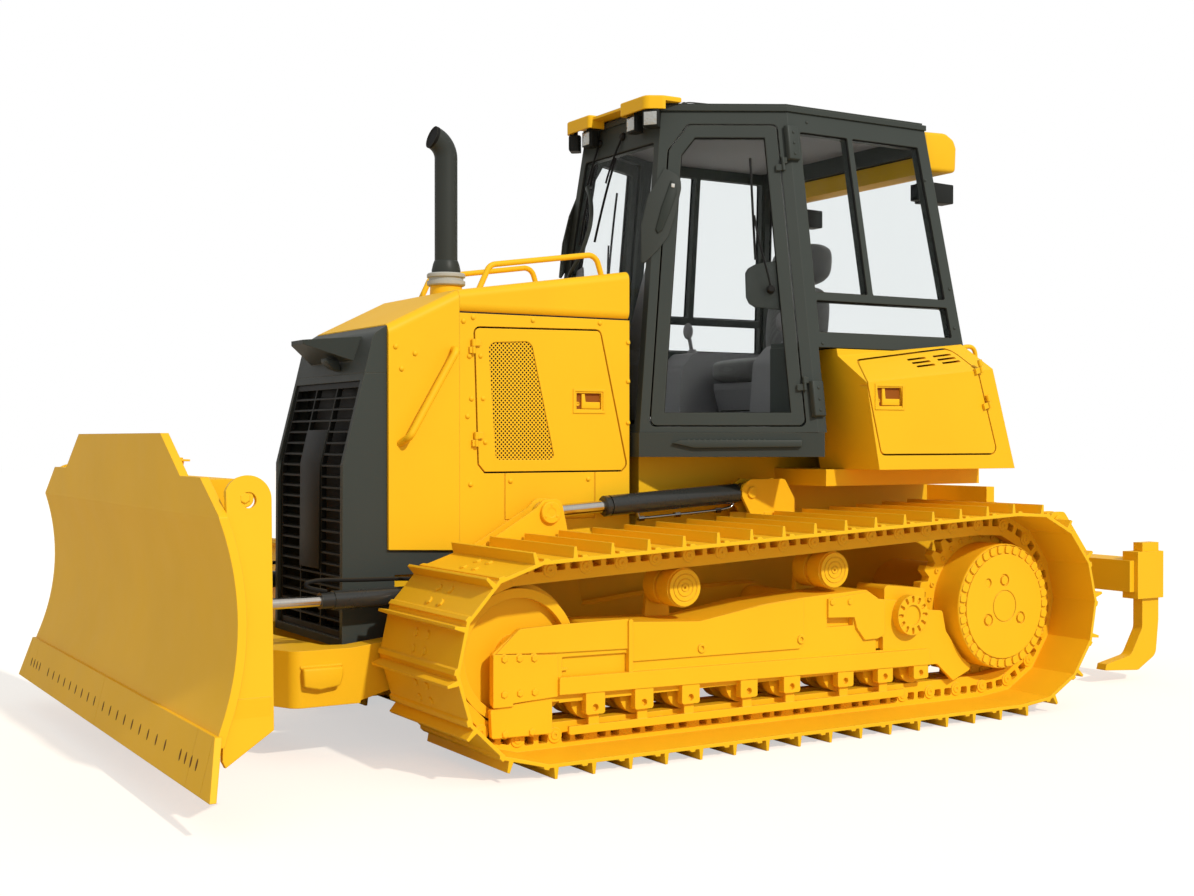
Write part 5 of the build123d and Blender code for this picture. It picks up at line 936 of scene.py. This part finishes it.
ANGLE_FOOT, ANGLE_RUN = Vector((0.524, -1.4925, 0.690)), Vector((0.046, -0.999, 0))
ANGLE_HOSE = ((0.10, 0.040), (0.10, 0.066), (0.20, 0.078), (0.45, 0.082), (0.60, 0.092), (0.67, 0.080),
              (0.66, 0.058), (0.57, 0.040))      # along the cylinder, and above it
BOSS = ((-2.195, 0.414), (-2.015, 0.412), (-2.015, 0.372), (-2.030, 0.330), (-2.120, 0.319), (-2.190, 0.335))
for side, hand in SIDES:
    route = [ANGLE_FOOT + ANGLE_RUN * ahead + Vector((0, 0, rise)) for ahead, rise in ANGLE_HOSE]
    hose = bent_tube(on_side(side, route), 0.0095)
    settle(hose, f"angle_hose_{hand}", seal_rubber, f"angle_barrel_{hand}", 60)
    boss = cut_flat(0, side * 0.594, side * 0.038, BOSS, 0.009, 3)
    settle(boss, f"frame_boss_{hand}", machine_yellow, "c_frame")
    weld = [(Vector((side * 0.596, -2.190 + 0.0125 * count, 0.415)), (side, 0, 0)) for count in range(15)]
    fixed_at(button, 0.0085, weld, f"boss_weld_{hand}", machine_yellow, "c_frame")

# ---------------------------------------------------------------- blade
# Curved face plate with bolted cutting edges. Plough bolts sit flush in slotted holes, and a guard
# bracket with a locking bolt stands behind the top edge on the left.

# Painted shade: the plough bolts' heads are dark brown, standing for the shade in their slotted holes.
bolt_slot_shade = enamel("bolt_slot_shade", (0.14, 0.050, 0.004), gloss=0.5, edge_highlight=0.2)
MIDDLE_BOLTS = [0.08 + 0.121 * step for step in range(9)]
CORNER_BOLTS = [1.250 + 0.068 * step for step in range(4)]
slots = []
for x in (*MIDDLE_BOLTS, *CORNER_BOLTS):
    for side in (-1, 1):
        slots.append(skin_of("cutting_edges", (side * x, -3.2, 0.238), (0, 1, 0)))
plough = turned(((0, -0.5), (1, -0.5), (1, 0.04), (0.8, 0.10), (0, 0.10)), 10)
plough.data.transform(Matrix.Diagonal((0.62, 1.75, 1, 1)))
fixed_at(plough, 0.013, slots, "plough_bolts", bolt_slot_shade, "blade")
bpy.data.objects.remove(plough)
BRACKET = ((0.610, 1.300), (0.790, 1.300), (0.740, 1.240), (0.660, 1.240))
settle(cut_flat(1, -2.745, -0.012, BRACKET), "guard_bracket", machine_yellow, "blade")
ledge = cut_flat(2, 1.300, 0.008, rectangle((0.600, -2.775), (0.800, -2.725)), 0.002)
settle(ledge, "guard_ledge", machine_yellow, "blade")
ear_pins = [(Vector((side * 1.439, -2.7165, 1.175)), (side * 0.993, 0, 0.115)) for side in (-1, 1)]
ear_heads = [(point + Vector(facing) * 0.004, facing) for point, facing in ear_pins]
fixed_at(cap, 0.034, ear_pins, "ear_pins", machine_yellow, "blade")
fixed_at(hexagon, 0.021, ear_heads, "ear_pin_heads", machine_yellow, "blade")
fixed_at(hexagon, 0.013, [((0.735, -2.748, 1.309), (0, 0, 1))], "guard_bolt", machine_yellow, "blade")

# ---------------------------------------------------------------- ripper
# Parallel-link ripper on the rear of the hull, welded from plate. Its pins are kept by round caps, each
# with a single bolt.

RIPPER_PINS = {"ripper_beam": ((0.456, 2.5675, 0.600), (0.456, 2.5675, 0.900)),
               "chassis": ((0.458, 1.9535, 0.708), (0.458, 1.9535, 1.008))}
for body, pins in RIPPER_PINS.items():
    caps = [(mirrored(side, point), (side, 0, 0)) for side in (-1, 1) for point in pins]
    cap_bolts = [(point + Vector(facing) * 0.005, facing) for point, facing in caps]
    fixed_at(cap, 0.034, caps, f"{body}_pin_caps", machine_yellow, body)
    fixed_at(hexagon, 0.010, cap_bolts, f"{body}_cap_bolts", machine_yellow, body)
for spare in (hexagon, socket, button, cap):
    bpy.data.objects.remove(spare)

# ---------------------------------------------------------------- floor, light and camera
# A pale studio floor, whose glow only the camera sees. A bright key lights the machine from its left, and
# an even sky fills the shadows.


def seen_plainly(tree):
    """1 for what the camera sees directly or through glass."""
    path = node(tree, "LightPath").outputs
    return value(tree, "MAXIMUM", path["Is Camera Ray"], path["Is Transmission Ray"])


FLOOR_GLOW, SKY_LEVEL = 0.56, 0.60
floor = started(bpy.ops.mesh.primitive_circle_add, vertices=96, radius=60.0, fill_type="NGON")
floor.name = "studio_floor"
paper, tree, _ = plain("studio_paper")
tree.nodes.remove(tree.nodes["Principled BSDF"])
matt = node(tree, "BsdfDiffuse", Color=(0.58, 0.53, 0.46, 1))
strength = value(tree, "MULTIPLY", seen_plainly(tree), FLOOR_GLOW)
glow = node(tree, "Emission", Color=(1, 1, 1, 1), Strength=strength)
both = node(tree, "AddShader")
feed(tree, both.inputs[0], matt.outputs["BSDF"])
feed(tree, both.inputs[1], glow.outputs["Emission"])
feed(tree, tree.nodes["Material Output"].inputs["Surface"], both.outputs["Shader"])
floor.data.materials.append(paper)

world = bpy.data.worlds.new("studio_sky")
bpy.context.scene.world = world
world.use_nodes = True
tree = world.node_tree
sky = tree.nodes["Background"].inputs
feed(tree, sky["Strength"], ramp(tree, seen_plainly(tree), 0.0, 1.0, SKY_LEVEL))
sky["Color"].default_value = (1, 1, 1, 1)

sun = bpy.data.lights.new("key", "SUN")
sun.energy, sun.angle = 2.4, math.radians(2)
sun.color = (1.0, 0.97, 0.90)
key = bpy.data.objects.new("key", sun)
bpy.context.collection.objects.link(key)
key.rotation_mode = "QUATERNION"
key.rotation_quaternion = Vector((0.80, 0.10, 0.60)).to_track_quat("Z", "Y")

eye = bpy.data.cameras.new("camera")
camera = bpy.data.objects.new("camera", eye)
bpy.context.collection.objects.link(camera)
eye.lens, eye.sensor_width = 45.93, 36.0
camera.location = (6.780, -4.4653, 1.389)
BELOW_LEVEL, FROM_SIDE = 0.346, 31.174       # where the camera looks, in degrees
camera.rotation_euler = (math.radians(90 - BELOW_LEVEL), 0, math.radians(90 - FROM_SIDE))
bpy.context.scene.camera = camera
bpy.context.scene.view_settings.view_transform = "Standard"
